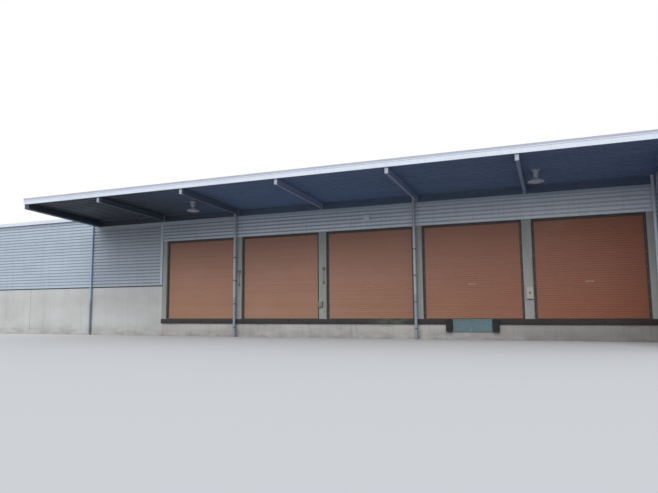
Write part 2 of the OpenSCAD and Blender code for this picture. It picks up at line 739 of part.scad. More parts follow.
// Coping on the fascia, hooked over its front and closed at the open end
module canopy_coping() {
    depth = 180;
    back_h = 60;
    color("#a7aab8") translate([x_canopy - sheet_t, y_face - canopy_d, coping_z])
        rotate([90, 0, 90]) union() {
        linear_extrude(x_canopy_end - x_canopy + sheet_t)
            polygon([[0, -sheet_t], [0, -coping_h], [-coping_out, -coping_h], [-coping_out, 0],
                [depth, 0], [depth, -back_h], [depth - sheet_t, -back_h],
                [depth - sheet_t, -sheet_t]]);
        linear_extrude(sheet_t) polygon([[-coping_out, -coping_h], [-coping_out, 0], [depth, 0],
            [depth, -back_h], [back_h, -back_h], [0, -coping_h]]);
    }
}

// Lamp under the canopy: mounting plate on the deck, gear box, neck and a wide shade
module lamp(x) {
    y = y_face - lamp_reach;
    r = lamp_dia / 2;
    plate_w = 300;
    plate_t = 8;
    gear_w = 180;
    gear_h = 240;
    neck_r = 70;
    neck_z = 100;
    color("#c9d2da") translate([x, y, deck_z(y)]) union() {
        rotate([-canopy_angle, 0, 0]) translate([-plate_w / 2, -plate_w / 2, -plate_t])
            cube([plate_w, plate_w, plate_t]);
        translate([-gear_w / 2, -gear_w / 2, -gear_h]) cube([gear_w, gear_w, gear_h - plate_t / 2]);
        translate([0, 0, neck_z - lamp_drop])
            cylinder(r = neck_r, h = lamp_drop - neck_z - gear_h + 10, $fn = 32);
        translate([0, 0, -lamp_drop]) rotate_extrude($fn = 48)
            polygon([[0, 150], [80, 150], [r * 0.62, 115], [r * 0.9, 55], [r, 0],
                [r - 12, 0], [r * 0.88 - 8, 50], [r * 0.6, 103], [0, 135]]);
    }
}

module lamp_left() { lamp(column_x(1) - lamp_left_offset); }

module lamp_right() { lamp(opening_x(door_bays - 1) + lamp_right_offset); }

// Light on the cladding over the third shutter: back plate, arm and a housing tipped down
module wall_light() {
    w = wall_light_w;
    plate_w = 110;
    plate_h = 140;
    plate_t = 10;
    arm_w = 40;
    arm_l = 60;
    color("#c9d2da") translate([opening_x(2) + door_w / 2, y_crest, door_top + wall_light_rise])
        union() {
        translate([-plate_w / 2, -plate_t, -plate_h / 2]) cube([plate_w, plate_t, plate_h]);
        translate([-arm_w / 2, -arm_l, -arm_w / 2]) cube([arm_w, arm_l, arm_w]);
        translate([-w / 2, 0, 0]) rotate([90, 0, 90]) linear_extrude(w)
            polygon([[1 - arm_l, -50], [-150, -120], [-170, -80], [-90, 130], [1 - arm_l, 130]]);
    }
}

// Box on a column, centred on x, with a raised lid and a conduit down or up from it
module box_on_column(x, z, w, h, depth) {
    lid_edge = 12;
    lid_t = 8;
    translate([x - w / 2, y_face - depth, z]) cube([w, depth, h]);
    translate([x - w / 2 + lid_edge, y_face - depth - lid_t, z + lid_edge])
        cube([w - 2 * lid_edge, lid_t + 1, h - 2 * lid_edge]);
}

// Cable conduit on a column between two heights
module conduit(x, z0, z1) {
    translate([x, y_face - conduit_dia / 2, z0])
        cylinder(r = conduit_dia / 2, h = z1 - z0, $fn = 24);
}

// Switches with their push buttons beside two shutters, a relay box beside one of them, and the
// control box of the leveller with its cable conduit
module control_boxes() {
    switch_z = dock_h + 2400;
    switch_h = 150;
    switch_d = 80;
    switch_edge = 120;
    button_z = dock_h + 1720;
    button_w = 80;
    button_h = 140;
    button_d = 56;
    relay_w = 200;
    relay_h = 260;
    relay_z = dock_h + 590;
    relay_edge = 10;
    panel_z = dock_h + 860;
    panel_d = 110;
    panel_edge = 20;
    conduit_edge = 24;
    conduit_l = 1300;
    color("#8a9096") {
        for (i = [1, 2]) union() {
            x = opening_x(i) - switch_edge;
            box_on_column(x, switch_z, switch_w, switch_h, switch_d);
            conduit(x, button_z + button_h - 1, switch_z + 1);
            box_on_column(x, button_z, button_w, button_h, button_d);
        }
        box_on_column(column_x(2) + relay_edge + relay_w / 2, relay_z, relay_w, relay_h, panel_d);
        union() {
            side = opening_x(lip_bay);
            box_on_column(side - panel_edge - panel_w / 2, panel_z, panel_w, panel_h, panel_d);
            conduit(side - conduit_edge - conduit_dia / 2, panel_z + panel_h - 1,
                panel_z + panel_h + conduit_l);
        }
    }
}

dock_wall();
floor_slab();
column(0);  // column_0
column(1);  // column_1
column(2);  // column_2
column(3);  // column_3
column(4);  // column_4
column(5);  // column_5
shutter(1);  // shutter_1
shutter(2);  // shutter_2
shutter(3);  // shutter_3
shutter(4);  // shutter_4
shutter(5);  // shutter_5
shutter_guides();
head_beam();
cladding_over_doors();
cladding_left_bay();
cladding_left_section();
base_left_bay();
base_left_section();
left_end_base();
left_end_cladding();
right_end_base();
right_end_cladding();
rear_base();
rear_cladding();
flank_base();
flank_cladding();
wall_flashings();
roof_front_slope();
roof_rear_slope();
ridge_cap();
verge_flashings();
front_gutter();
rear_gutter();
bumper_rail();
dock_leveller();
dock_bumpers();
downpipes();
canopy_wall_beam();
canopy_end_beam();
canopy_rafters();
canopy_deck();
canopy_gutter();
canopy_fascia();
canopy_coping();
lamp_left();
lamp_right();
wall_light();
control_boxes();
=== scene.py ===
"""Looks of a factory building with a covered loading dock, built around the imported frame.

Sizes are in metres unless a name ends in _mm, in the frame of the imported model: the dock faces
-Y, +X runs to the right along it, and the walls stand at z = 0.
"""

import logging
import math
from collections.abc import Callable, Iterable
from dataclasses import dataclass
from enum import Enum

import bpy
from mathutils import Matrix, Vector


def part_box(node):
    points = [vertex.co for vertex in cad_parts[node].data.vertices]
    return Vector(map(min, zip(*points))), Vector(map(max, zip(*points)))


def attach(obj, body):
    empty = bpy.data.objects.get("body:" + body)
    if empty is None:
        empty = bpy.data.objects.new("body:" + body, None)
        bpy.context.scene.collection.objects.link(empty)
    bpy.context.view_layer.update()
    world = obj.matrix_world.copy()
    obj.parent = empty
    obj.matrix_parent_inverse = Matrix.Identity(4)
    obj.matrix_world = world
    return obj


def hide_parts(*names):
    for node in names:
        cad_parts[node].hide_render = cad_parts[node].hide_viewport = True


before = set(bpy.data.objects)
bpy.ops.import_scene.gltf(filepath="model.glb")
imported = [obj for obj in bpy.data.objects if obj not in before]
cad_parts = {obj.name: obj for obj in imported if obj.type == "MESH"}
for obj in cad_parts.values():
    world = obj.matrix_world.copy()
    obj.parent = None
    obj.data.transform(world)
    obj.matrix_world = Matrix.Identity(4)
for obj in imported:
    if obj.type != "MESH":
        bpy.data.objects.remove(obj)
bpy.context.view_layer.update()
LOG = logging.getLogger("factory_building")
BODY = "root"
MM = 0.001

Point = Vector | tuple[float, float, float]
Row = tuple[int, Point]
Tree = bpy.types.NodeTree
Socket = bpy.types.NodeSocket

FRONT, REAR, LEFT, RIGHT = (0, -1, 0), (0, 1, 0), (-1, 0, 0), (1, 0, 0)
UP, DOWN = (0, 0, 1), (0, 0, -1)
# Cosine of the widest angle between a direction and the normal of a face that looks that way
FACING = 0.9
# Edges sharper than the first angle are bevelled, and those flatter than the second look round
BEVEL_ANGLE, SMOOTH_ANGLE = math.radians(40), math.radians(35)
# Finer octaves in soft patches
CLOUD_DETAIL = 4.0
# Distance over which a mark comes in between two pieces
PIECE_GAP = 0.1
# Sockets of the Mix node for colours, which share their names with those for other values
MIX_FACTOR, MIX_FIRST, MIX_SECOND, MIX_RESULT = 0, 6, 7, 2


def linear(hex_colour: str) -> tuple[float, float, float, float]:
    """Turns an sRGB colour into the linear one that a shader socket takes.

    Args:
        hex_colour: Colour as "#rrggbb".

    Returns:
        Linear red, green and blue with full alpha.
    """
    parts = (int(hex_colour[k:k + 2], 16) / 255 for k in (1, 3, 5))
    return (*(p / 12.92 if p <= 0.04045 else ((p + 0.055) / 1.055) ** 2.4 for p in parts), 1.0)


def add_node(tree: Tree, kind: str, settings: dict | None = None,
             inputs: dict | None = None) -> bpy.types.Node:
    """Adds one shader node with its settings, values and links.

    Args:
        tree: Node tree that gets the node.
        kind: Type name of the node.
        settings: Properties of the node.
        inputs: Input name or number with a value, or with the output socket to link.

    Returns:
        The new node.
    """
    node = tree.nodes.new(kind)
    for name, value in (settings or {}).items():
        setattr(node, name, value)
    for key, value in (inputs or {}).items():
        if isinstance(value, Socket):
            tree.links.new(value, node.inputs[key])
        else:
            node.inputs[key].default_value = value
    return node


class Pattern(Enum):
    """How the marks of a layer are laid out."""

    CLOUDS = "soft uneven patches"
    EVEN = "all over, within the fades"
    SPOTS = "round spots, one in each cell"
    SHEETS = "one even tone for each cell of a grid"
    JOINTS = "distance from the lines of a grid, in millimetres"


@dataclass(frozen=True)
class Fade:
    """Where along one axis a mark comes in: absent at gone, full at full, in metres."""

    axis: str
    gone: float
    full: float

    @classmethod
    def right_of(cls, x: float) -> "Fade":
        """Returns a fade that keeps a mark to the pieces right of x."""
        return cls("X", x - PIECE_GAP, x)

    @classmethod
    def left_of(cls, x: float) -> "Fade":
        """Returns a fade that keeps a mark to the pieces left of x."""
        return cls("X", x + PIECE_GAP, x)


class Mark:
    """A procedural pattern of a real size, which a layer or a relief follows.

    Attributes:
        size_mm: Size of one mark along X, Y and Z. For joints it is their spacing, 0 for none.
        span: Pattern values at which the mark starts and at which it is full.
        pattern: Layout of the marks.
        fades: Limits of the mark along the axes.
        origin: Point that the pattern starts from.
    """

    size_mm: Point
    span: tuple[float, float]
    pattern: Pattern
    fades: tuple[Fade, ...]
    origin: Point

    def value(self, tree: Tree, place: Socket) -> Socket:
        """Makes the raw pattern.

        Args:
            tree: Node tree of the material.
            place: Object coordinates in metres.

        Returns:
            Socket with the pattern's value.
        """
        moved = add_node(tree, "ShaderNodeVectorMath", {"operation": "SUBTRACT"},
                         {0: place, 1: self.origin}).outputs[0]
        if self.pattern is Pattern.JOINTS:
            return self.joint_distance(tree, moved)
        cells = tuple(1 / (s * MM) for s in self.size_mm)
        scaled = add_node(tree, "ShaderNodeVectorMath", {"operation": "MULTIPLY"},
                          {0: moved, 1: cells}).outputs[0]
        if self.pattern is Pattern.CLOUDS:
            return add_node(tree, "ShaderNodeTexNoise", None,
                            {"Vector": scaled, "Scale": 1.0, "Detail": CLOUD_DETAIL}).outputs[0]
        if self.pattern is Pattern.SPOTS:
            return add_node(tree, "ShaderNodeTexVoronoi", None,
                            {"Vector": scaled, "Scale": 1.0}).outputs[0]
        cell = add_node(tree, "ShaderNodeVectorMath", {"operation": "FLOOR"}, {0: scaled})
        return add_node(tree, "ShaderNodeTexWhiteNoise", None,
                        {"Vector": cell.outputs[0]}).outputs[0]

    def joint_distance(self, tree: Tree, moved: Socket) -> Socket:
        """Makes the distance to the nearest line of a grid.

        Args:
            tree: Node tree of the material.
            moved: Object coordinates from the pattern's origin, in metres.

        Returns:
            Socket with the distance in millimetres.
        """
        axes = add_node(tree, "ShaderNodeSeparateXYZ", None, {0: moved})
        nearest = None
        for axis, spacing in enumerate(self.size_mm):
            if not spacing:
                continue
            near = add_node(tree, "ShaderNodeMath", {"operation": "PINGPONG"},
                            {0: axes.outputs[axis], 1: spacing * MM / 2}).outputs[0]
            nearest = near if nearest is None else add_node(
                tree, "ShaderNodeMath", {"operation": "MINIMUM"}, {0: nearest, 1: near}).outputs[0]
        return add_node(tree, "ShaderNodeMath", {"operation": "DIVIDE"},
                        {0: nearest, 1: MM}).outputs[0]

    def mask(self, tree: Tree, place: Socket, full: float) -> Socket:
        """Makes the mark's mask.

        Args:
            tree: Node tree of the material.
            place: Object coordinates in metres.
            full: Value of the mask where the mark is full.

        Returns:
            Socket that runs from 0 to full.
        """
        if self.pattern is Pattern.EVEN:
            mask = add_node(tree, "ShaderNodeValue").outputs[0]
            mask.default_value = full
        else:
            mask = add_node(tree, "ShaderNodeMapRange", None,
                            {"Value": self.value(tree, place), "From Min": self.span[0],
                             "From Max": self.span[1], "To Max": full}).outputs[0]
        for fade in self.fades:
            axes = add_node(tree, "ShaderNodeSeparateXYZ", None, {0: place})
            limit = add_node(tree, "ShaderNodeMapRange", None,
                             {"Value": axes.outputs[fade.axis], "From Min": fade.gone,
                              "From Max": fade.full}).outputs[0]
            mask = add_node(tree, "ShaderNodeMath", {"operation": "MULTIPLY"},
                            {0: mask, 1: limit}).outputs[0]
        return mask


@dataclass(frozen=True)
class Layer(Mark):
    """A colour over part of a surface, such as dirt or the tone of one sheet.

    Attributes:
        size_mm: As in a mark, and so are span, pattern, fades and origin.
        colour: Colour of the layer.
        cover: How much it hides where it is full.
        gloss: What it adds to the roughness where it is full.
    """

    size_mm: Point
    span: tuple[float, float]
    colour: str
    cover: float
    gloss: float = 0.0
    pattern: Pattern = Pattern.CLOUDS
    fades: tuple[Fade, ...] = ()
    origin: Point = (0.0, 0.0, 0.0)

    @classmethod
    def even(cls, colour: str, cover: float, *fades: Fade) -> "Layer":
        """Makes a plain layer that only its fades limit.

        Args:
            colour: Colour of the layer.
            cover: How much it hides.
            fades: Limits along the axes.

        Returns:
            The layer.
        """
        return cls((0, 0, 0), (0, 1), colour, cover, pattern=Pattern.EVEN, fades=fades)


@dataclass(frozen=True)
class Relief(Mark):
    """A raised or sunk pattern; depth_mm is its height where it is full, below 0 if it is sunk."""

    size_mm: Point
    span: tuple[float, float]
    depth_mm: float
    pattern: Pattern = Pattern.CLOUDS
    fades: tuple[Fade, ...] = ()
    origin: Point = (0.0, 0.0, 0.0)


@dataclass(frozen=True)
class Finish:
    """One real surface finish, made as a procedural material.

    Attributes:
        name: Name of the material.
        colour: Colour of the clean surface.
        roughness: Roughness of the clean surface.
        layers: Colours over it, lowest first.
        reliefs: Raised and sunk patterns.
        metallic: 0 on paint, mineral and rubber, up to 1 on bare metal.
        coat: Weight of a clear gloss coat.
    """

    name: str
    colour: str
    roughness: float
    layers: tuple[Layer, ...] = ()
    reliefs: tuple[Relief, ...] = ()
    metallic: float = 0.0
    coat: float = 0.0

    def material(self) -> bpy.types.Material:
        """Gives the finish's material, made on first use.

        Returns:
            The material.
        """
        made = bpy.data.materials.get(self.name)
        if made is not None:
            return made
        made = bpy.data.materials.new(self.name)
        made.use_nodes = True
        tree = made.node_tree
        tree.nodes.clear()
        place = add_node(tree, "ShaderNodeTexCoord").outputs["Object"]
        colour, rough = self.surface(tree, place)
        inputs = {"Base Color": colour, "Roughness": rough, "Metallic": self.metallic,
                  "Coat Weight": self.coat}
        if self.reliefs:
            inputs["Normal"] = self.bump(tree, place)
        shader = add_node(tree, "ShaderNodeBsdfPrincipled", None, inputs)
        add_node(tree, "ShaderNodeOutputMaterial", None, {"Surface": shader.outputs[0]})
        return made

    def surface(self, tree: Tree, place: Socket) -> tuple[Socket | tuple, Socket | float]:
        """Lays the layers over each other.

        Args:
            tree: Node tree of the material.
            place: Object coordinates in metres.

        Returns:
            Colour and roughness, each a value or a socket.
        """
        colour, rough = linear(self.colour), self.roughness
        for layer in self.layers:
            mask = layer.mask(tree, place, layer.cover)
            colour = add_node(tree, "ShaderNodeMix", {"data_type": "RGBA"},
                              {MIX_FACTOR: mask, MIX_FIRST: colour,
                               MIX_SECOND: linear(layer.colour)}).outputs[MIX_RESULT]
            if layer.gloss:
                rough = add_node(tree, "ShaderNodeMath",
                                 {"operation": "MULTIPLY_ADD", "use_clamp": True},
                                 {0: mask, 1: layer.gloss / layer.cover, 2: rough}).outputs[0]
        return colour, rough

    def bump(self, tree: Tree, place: Socket) -> Socket:
        """Adds the reliefs up, in millimetres.

        Args:
            tree: Node tree of the material.
            place: Object coordinates in metres.

        Returns:
            Socket with the bumped normal.
        """
        height = None
        for relief in self.reliefs:
            mask = relief.mask(tree, place, relief.depth_mm)
            height = mask if height is None else add_node(
                tree, "ShaderNodeMath", {"operation": "ADD"}, {0: height, 1: mask}).outputs[0]
        return add_node(tree, "ShaderNodeBump", None,
                        {"Height": height, "Distance": MM}).outputs[0]


class Shape:
    """A mesh modelled with Blender's operators, step by step; each step returns the shape.

    Attributes:
        thing: Object that holds the mesh.
    """

    def __init__(self, thing: bpy.types.Object) -> None:
        """Takes over a new object that is active and selected, and settles its place."""
        self.thing = thing
        bpy.ops.object.transform_apply(location=True, rotation=True, scale=True)

    @classmethod
    def block(cls, low: Point, high: Point) -> "Shape":
        """Starts from a cube that fills a box.

        Args:
            low: Lowest corner.
            high: Highest corner.

        Returns:
            The new shape.
        """
        size = Vector(high) - Vector(low)
        bpy.ops.object.select_all(action="DESELECT")
        bpy.ops.mesh.primitive_cube_add(size=1.0, location=Vector(low) + size / 2, scale=size)
        return cls(bpy.context.active_object)

    @classmethod
    def rod(cls, start: Point, end: Point, radius: float, sides: int = 16) -> "Shape":
        """Starts from a cylinder between two points.

        Args:
            start: Centre of one end.
            end: Centre of the other end.
            radius: Radius of the cylinder.
            sides: Number of its sides.

        Returns:
            The new shape.
        """
        along = Vector(end) - Vector(start)
        bpy.ops.object.select_all(action="DESELECT")
        bpy.ops.mesh.primitive_cylinder_add(
            vertices=sides, radius=radius, depth=along.length, location=Vector(start) + along / 2,
            rotation=along.to_track_quat("Z", "Y").to_euler())
        return cls(bpy.context.active_object)

    @classmethod
    def copy_of(cls, node: str) -> "Shape":
        """Starts from a merged copy of a node of the frame.

        Args:
            node: Name of the node.

        Returns:
            The new shape, in edit mode.
        """
        bpy.ops.object.select_all(action="DESELECT")
        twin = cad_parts[node].copy()
        twin.data = twin.data.copy()
        bpy.context.scene.collection.objects.link(twin)
        twin.select_set(True)
        bpy.context.view_layer.objects.active = twin
        shape = cls(twin)
        shape.enter("EDIT")
        bpy.ops.mesh.select_all(action="SELECT")
        bpy.ops.mesh.remove_doubles(threshold=MM / 10)
        return shape

    def enter(self, mode: str) -> None:
        """Selects this shape alone and enters a mode with it.

        Args:
            mode: "OBJECT" or "EDIT".
        """
        if bpy.context.mode != "OBJECT":
            bpy.ops.object.mode_set(mode="OBJECT")
        bpy.ops.object.select_all(action="DESELECT")
        self.thing.select_set(True)
        bpy.context.view_layer.objects.active = self.thing
        bpy.ops.object.mode_set(mode=mode)

    def pick(self, test: Callable[[Vector], bool]) -> "Shape":
        """Selects faces by their normal, in edit mode.

        Args:
            test: Takes a face's normal, and says whether the face is picked.

        Returns:
            The shape.
        """
        self.enter("EDIT")
        bpy.ops.mesh.select_mode(type="FACE")
        bpy.ops.mesh.select_all(action="DESELECT")
        bpy.ops.object.mode_set(mode="OBJECT")
        for face in self.thing.data.polygons:
            face.select = test(face.normal)
        bpy.ops.object.mode_set(mode="EDIT")
        return self

    def faces(self, way: Point) -> "Shape":
        """Selects the faces that look one way."""
        return self.pick(lambda normal: normal.dot(Vector(way)) > FACING)

    def inset(self, width: float) -> "Shape":
        """Insets the selected faces."""
        bpy.ops.mesh.inset(thickness=width, use_even_offset=True)
        return self

    def extrude(self, move: Point) -> "Shape":
        """Extrudes the selected faces."""
        bpy.ops.mesh.extrude_region_move(TRANSFORM_OT_translate={"value": move})
        return self

    def resize(self, factor: Point, centre: Point) -> "Shape":
        """Resizes the selection about a point."""
        bpy.ops.transform.resize(value=factor, center_override=centre)
        return self

    def turn(self, angle_deg: float, axis: str, centre: Point) -> "Shape":
        """Turns the whole shape.

        Args:
            angle_deg: Angle of the turn, the other way round than in a window.
            axis: Name of the axis.
            centre: Point that stays in place.

        Returns:
            The shape.
        """
        self.enter("EDIT")
        bpy.ops.mesh.select_all(action="SELECT")
        bpy.ops.transform.rotate(value=math.radians(angle_deg), orient_axis=axis,
                                 center_override=centre)
        return self

    def bevel(self, width: float, segments: int = 1) -> "Shape":
        """Takes the sharp edges off with a bevel modifier."""
        return self.modify("BEVEL", width=width, segments=segments, limit_method="ANGLE",
                           angle_limit=BEVEL_ANGLE)

    def array(self, count: int, step: Point) -> "Shape":
        """Repeats the shape in a straight row."""
        return self.modify("ARRAY", count=count, use_relative_offset=False,
                           use_constant_offset=True, constant_offset_displace=step)

    def modify(self, kind: str, **settings: object) -> "Shape":
        """Adds a modifier and applies it.

        Args:
            kind: Type name of the modifier.
            settings: Properties of the modifier.

        Returns:
            The shape.
        """
        self.enter("OBJECT")
        modifier = self.thing.modifiers.new(kind.lower(), kind)
        for name, value in settings.items():
            setattr(modifier, name, value)
        bpy.ops.object.modifier_apply(modifier=modifier.name)
        return self

    def spread(self, moves: Iterable[Point]) -> "Shape":
        """Puts a copy with its own mesh at each move, in place of the first one.

        Args:
            moves: Moves of the copies.

        Returns:
            The copies as one shape.
        """
        self.enter("OBJECT")
        first = self.thing
        copies = []
        for move in moves:
            twin = first.copy()
            twin.data = first.data.copy()
            twin.location = move
            bpy.context.scene.collection.objects.link(twin)
            copies.append(twin)
        bpy.data.objects.remove(first)
        self.thing = copies[0]
        self.enter("OBJECT")
        for twin in copies[1:]:
            twin.select_set(True)
        if len(copies) > 1:
            bpy.ops.object.join()
        bpy.ops.object.transform_apply(location=True, rotation=True, scale=True)
        return self

    def join(self, *others: "Shape") -> "Shape":
        """Joins other shapes to this one.

        Args:
            others: Shapes that become part of it.

        Returns:
            The shape.
        """
        self.enter("OBJECT")
        for other in others:
            other.thing.select_set(True)
        bpy.ops.object.join()
        return self

    def done(self, name: str, finish: Finish, slot: str) -> bpy.types.Object:
        """Finishes a piece: outward normals, smooth rounds, its name, finish and body.

        Args:
            name: Name of the piece.
            finish: Its finish.
            slot: Not used.

        Returns:
            The finished object.
        """
        self.enter("EDIT")
        bpy.ops.mesh.select_all(action="SELECT")
        bpy.ops.mesh.normals_make_consistent(inside=False)
        bpy.ops.object.mode_set(mode="OBJECT")
        bpy.ops.object.shade_smooth_by_angle(angle=SMOOTH_ANGLE)
        self.thing.name = self.thing.data.name = name
        self.thing.data.materials.clear()
        self.thing.data.materials.append(finish.material())
        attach(self.thing, BODY)
        LOG.info("%s: %d faces", name, len(self.thing.data.polygons))
        return self.thing


def span(first: float, last: float, count: int) -> list[float]:
    """Returns evenly spaced stations from first to last, both included."""
    return [first + (last - first) * k / (count - 1) for k in range(count)]


def joint_stations(first: float, last: float, length: float) -> list[float]:
    """Finds where the sheets or panels of a run meet.

    Args:
        first: Start of the run.
        last: End of the run.
        length: Length of one sheet, which is fitted to the run.

    Returns:
        Stations of the joints inside the run.
    """
    count = round((last - first) / length)
    return span(first, last, count + 1)[1:-1]


def bolts(at: Point, out: Point, across: float, *rows: Row) -> Shape:
    """Models a six-sided bolt head on its washer and repeats it in straight rows.

    Args:
        at: Centre of the first washer's back.
        out: Unit direction away from the surface.
        across: Width of a head.
        rows: Number and step of the repeats, one direction after the other.

    Returns:
        The bolt heads as one shape.
    """
    start, way = Vector(at), Vector(out)
    washer_t, head_t, rim, sides = 0.15 * across, 0.6 * across, 0.3 * across, 6
    shape = Shape.rod(start, start + way * washer_t, across / 2 + rim, sides)
    shape.faces(out).inset(rim).extrude(way * head_t)
    for count, step in rows:
        shape.array(count, step)
    return shape


@dataclass(frozen=True)
class Stud:
    """A round knob, button or rose: a base with a narrower grip that faces the front.

    Attributes:
        radius: Radius of the base.
        base_t: Thickness of the base.
        rim: How much narrower the grip is, all round.
        grip_t: How far the grip stands out of the base.
        sides: Number of its sides.
    """

    radius: float
    base_t: float
    rim: float
    grip_t: float
    sides: int = 20

    def model(self, at: Point) -> Shape:
        """Models one stud.

        Args:
            at: Centre of the base's back.

        Returns:
            The stud, with the face of its grip still selected.
        """
        x, y, z = at
        stud = Shape.rod(at, (x, y - self.base_t, z), self.radius, self.sides)
        return stud.faces(FRONT).inset(self.rim).extrude((0, -self.grip_t, 0))


X_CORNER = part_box("base_left_bay")[0].x
X_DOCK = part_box("dock_wall")[0].x
X_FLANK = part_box("dock_wall")[1].x
X_PANEL_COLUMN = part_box("column_4")[0].x
X_LAST_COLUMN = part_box("column_5")[0].x
FLOOR_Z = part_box("dock_wall")[1].z
FACE_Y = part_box("column_1")[0].y
HEAD_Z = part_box("column_1")[1].z
Y_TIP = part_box("canopy_rafters")[0].y
Y_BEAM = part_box("canopy_wall_beam")[0].y
COPING_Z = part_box("canopy_coping")[0].z
CLADDING_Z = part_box("cladding_left_bay")[0].z
WALL_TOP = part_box("cladding_left_bay")[1].z

# Distance from one rib of the wall cladding to the next, and the first groove's height over
# the lower edge of the sheets
RIB_PITCH, FIRST_GROOVE = 0.183, 0.144
# Downpipes: top of their cast feet, distance between two straps, height of the middle strap
PIPE_FOOT_Z, STRAP_PITCH, STRAP_Z = 2.03, 1.215, FLOOR_Z + 2.0
# Top of the leveller's control box, where its conduit starts
PANEL_TOP = FLOOR_Z + 1.36

# Grain and dust finer than about 10 mm are drawn as marks of 9 mm and more, and air pores about
# twice as wide as real ones, because finer marks wouldn't show at the size of a building


def coated_cladding(name: str, colour: str, bottom_z: float, groove_dirt_and_shade: float,
                    shade: tuple[Layer, ...] = ()) -> Finish:
    """Makes the finish of one run of cladding, whose grooves start at its bottom.

    Roll-formed steel with baked blue-grey paint: an even satin skin, chalked pale in patches, with
    runs of rain dirt, a slightly different tone from sheet to sheet and dirt with painted shade in
    each groove.

    Args:
        name: Name of the material.
        colour: Colour of the clean sheets.
        bottom_z: Height of the lower edge of the sheets.
        groove_dirt_and_shade: Cover of the dirt and painted shade in the grooves.
        shade: Further layers of this run, painted shade and painted light.

    Returns:
        The finish.
    """
    return Finish(
        name, colour, 0.5,
        layers=(
            Layer((7200, 7200, 732), (0.2, 1.0), "#a2adb9", 0.3, pattern=Pattern.SHEETS),
            Layer((2600, 2600, 900), (0.45, 0.75), "#c3ccd4", 0.35, 0.1),
            Layer((110, 110, 2400), (0.52, 0.8), "#868e95", 0.35, 0.12),
            # Dirt and painted shade in each groove, dark where the ribs shade it
            Layer((0, 0, RIB_PITCH / MM), (40, 16), "#4d5862", groove_dirt_and_shade,
                  pattern=Pattern.JOINTS, origin=(0, 0, bottom_z + FIRST_GROOVE)),
            *shade,
        ),
        reliefs=(Relief((700, 700, 160), (0.3, 0.7), 2.0),))


# The sheets out in the open air
WALL_CLADDING = coated_cladding("coated_wall_cladding", "#b1bbc6", CLADDING_Z, 0.2)
# The same paint darkened as painted shade under the canopy, with more painted shade in the grooves
BAY_CLADDING = coated_cladding("shade_darkened_bay_cladding", "#a3acb6", CLADDING_Z, 0.4)
# Over the shutters the same paint is made paler as painted light under the canopy, with painted
# shade toward the open end, painted light to the right and deep painted shade in the grooves
DOOR_CLADDING = coated_cladding(
    "lightened_cladding_over_doors", "#dbe4ee", HEAD_Z, 0.6,
    # Painted shade toward the open end, then painted light toward the right
    (Layer.even("#5f6b78", 0.36, Fade("X", 1.5, -3.5)),
     Layer.even("#f0f3f6", 0.33, Fade("X", 4.0, 16.0))))
# The same paint made paler as painted light on the side wall, in the shade of the canopy
FLANK_CLADDING = coated_cladding("lightened_flank_cladding", "#c8d2e0",
                                 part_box("flank_cladding")[0].z, 0.2)

# Folded steel trim with baked white paint: smooth and satin, washed by rain and streaked grey
# under its laps
WHITE_TRIM = Finish(
    "white_coated_flashing", "#d5dce6", 0.42,
    layers=(
        Layer((1500, 1500, 300), (0.45, 0.7), "#c9d0d8", 0.45, 0.1),
        Layer((60, 60, 900), (0.55, 0.8), "#9aa1a8", 0.4, 0.15),
    ))

# Folded steel trim painted like the wall sheets: smooth and satin, washed by rain, with painted
# shade blackening the shadow gap over the base walls
WALL_TRIM = Finish(
    "blue_grey_wall_trim", "#b3bfca", 0.45,
    layers=(
        Layer((1200, 1200, 400), (0.42, 0.7), "#9aa5af", 0.4, 0.1),
        # Painted shade in the gap under the cladding
        Layer.even("#33383d", 0.85, Fade("Z", CLADDING_Z + 0.005, CLADDING_Z - 0.002)),
    ))

# Concrete panels cast in steel forms: pale, matt and cloudy, with air pores, dirt runs and damp
# at the foot
PRECAST_CONCRETE = Finish(
    "precast_concrete", "#c2c2bf", 0.86,
    layers=(
        Layer((2200, 2200, 1300), (0.4, 0.7), "#a5a4a0", 0.55),
        Layer((70, 70, 70), (0.4, 0.75), "#c6c6c2", 0.3),
        Layer((170, 170, 2600), (0.52, 0.8), "#8d8c87", 0.2),
        Layer((34, 34, 34), (0.16, 0.06), "#6f6e6a", 0.7, pattern=Pattern.SPOTS),
        Layer((700, 700, 300), (0.3, 0.6), "#857f74", 0.6, fades=(Fade("Z", 0.7, 0.0),)),
    ),
    reliefs=(
        Relief((34, 34, 34), (0.16, 0.06), -2.0, Pattern.SPOTS),
        Relief((9, 9, 9), (0.3, 0.7), 0.5),
    ))

# Concrete columns cast in steel forms: the same matt, cloudy skin with air pores, darkened all
# over as painted shade under the canopy
COLUMN_CONCRETE = Finish(
    "column_concrete", "#9d9d9a", 0.86,
    layers=(
        Layer((600, 600, 1300), (0.4, 0.7), "#8b8a86", 0.5),
        Layer((60, 60, 60), (0.4, 0.75), "#acaca8", 0.3),
        Layer((80, 80, 1800), (0.5, 0.78), "#74736f", 0.4),
        Layer((30, 30, 30), (0.16, 0.06), "#63625e", 0.7, pattern=Pattern.SPOTS),
    ),
    reliefs=(
        Relief((30, 30, 30), (0.16, 0.06), -2.0, Pattern.SPOTS),
        Relief((9, 9, 9), (0.3, 0.7), 0.5),
    ))

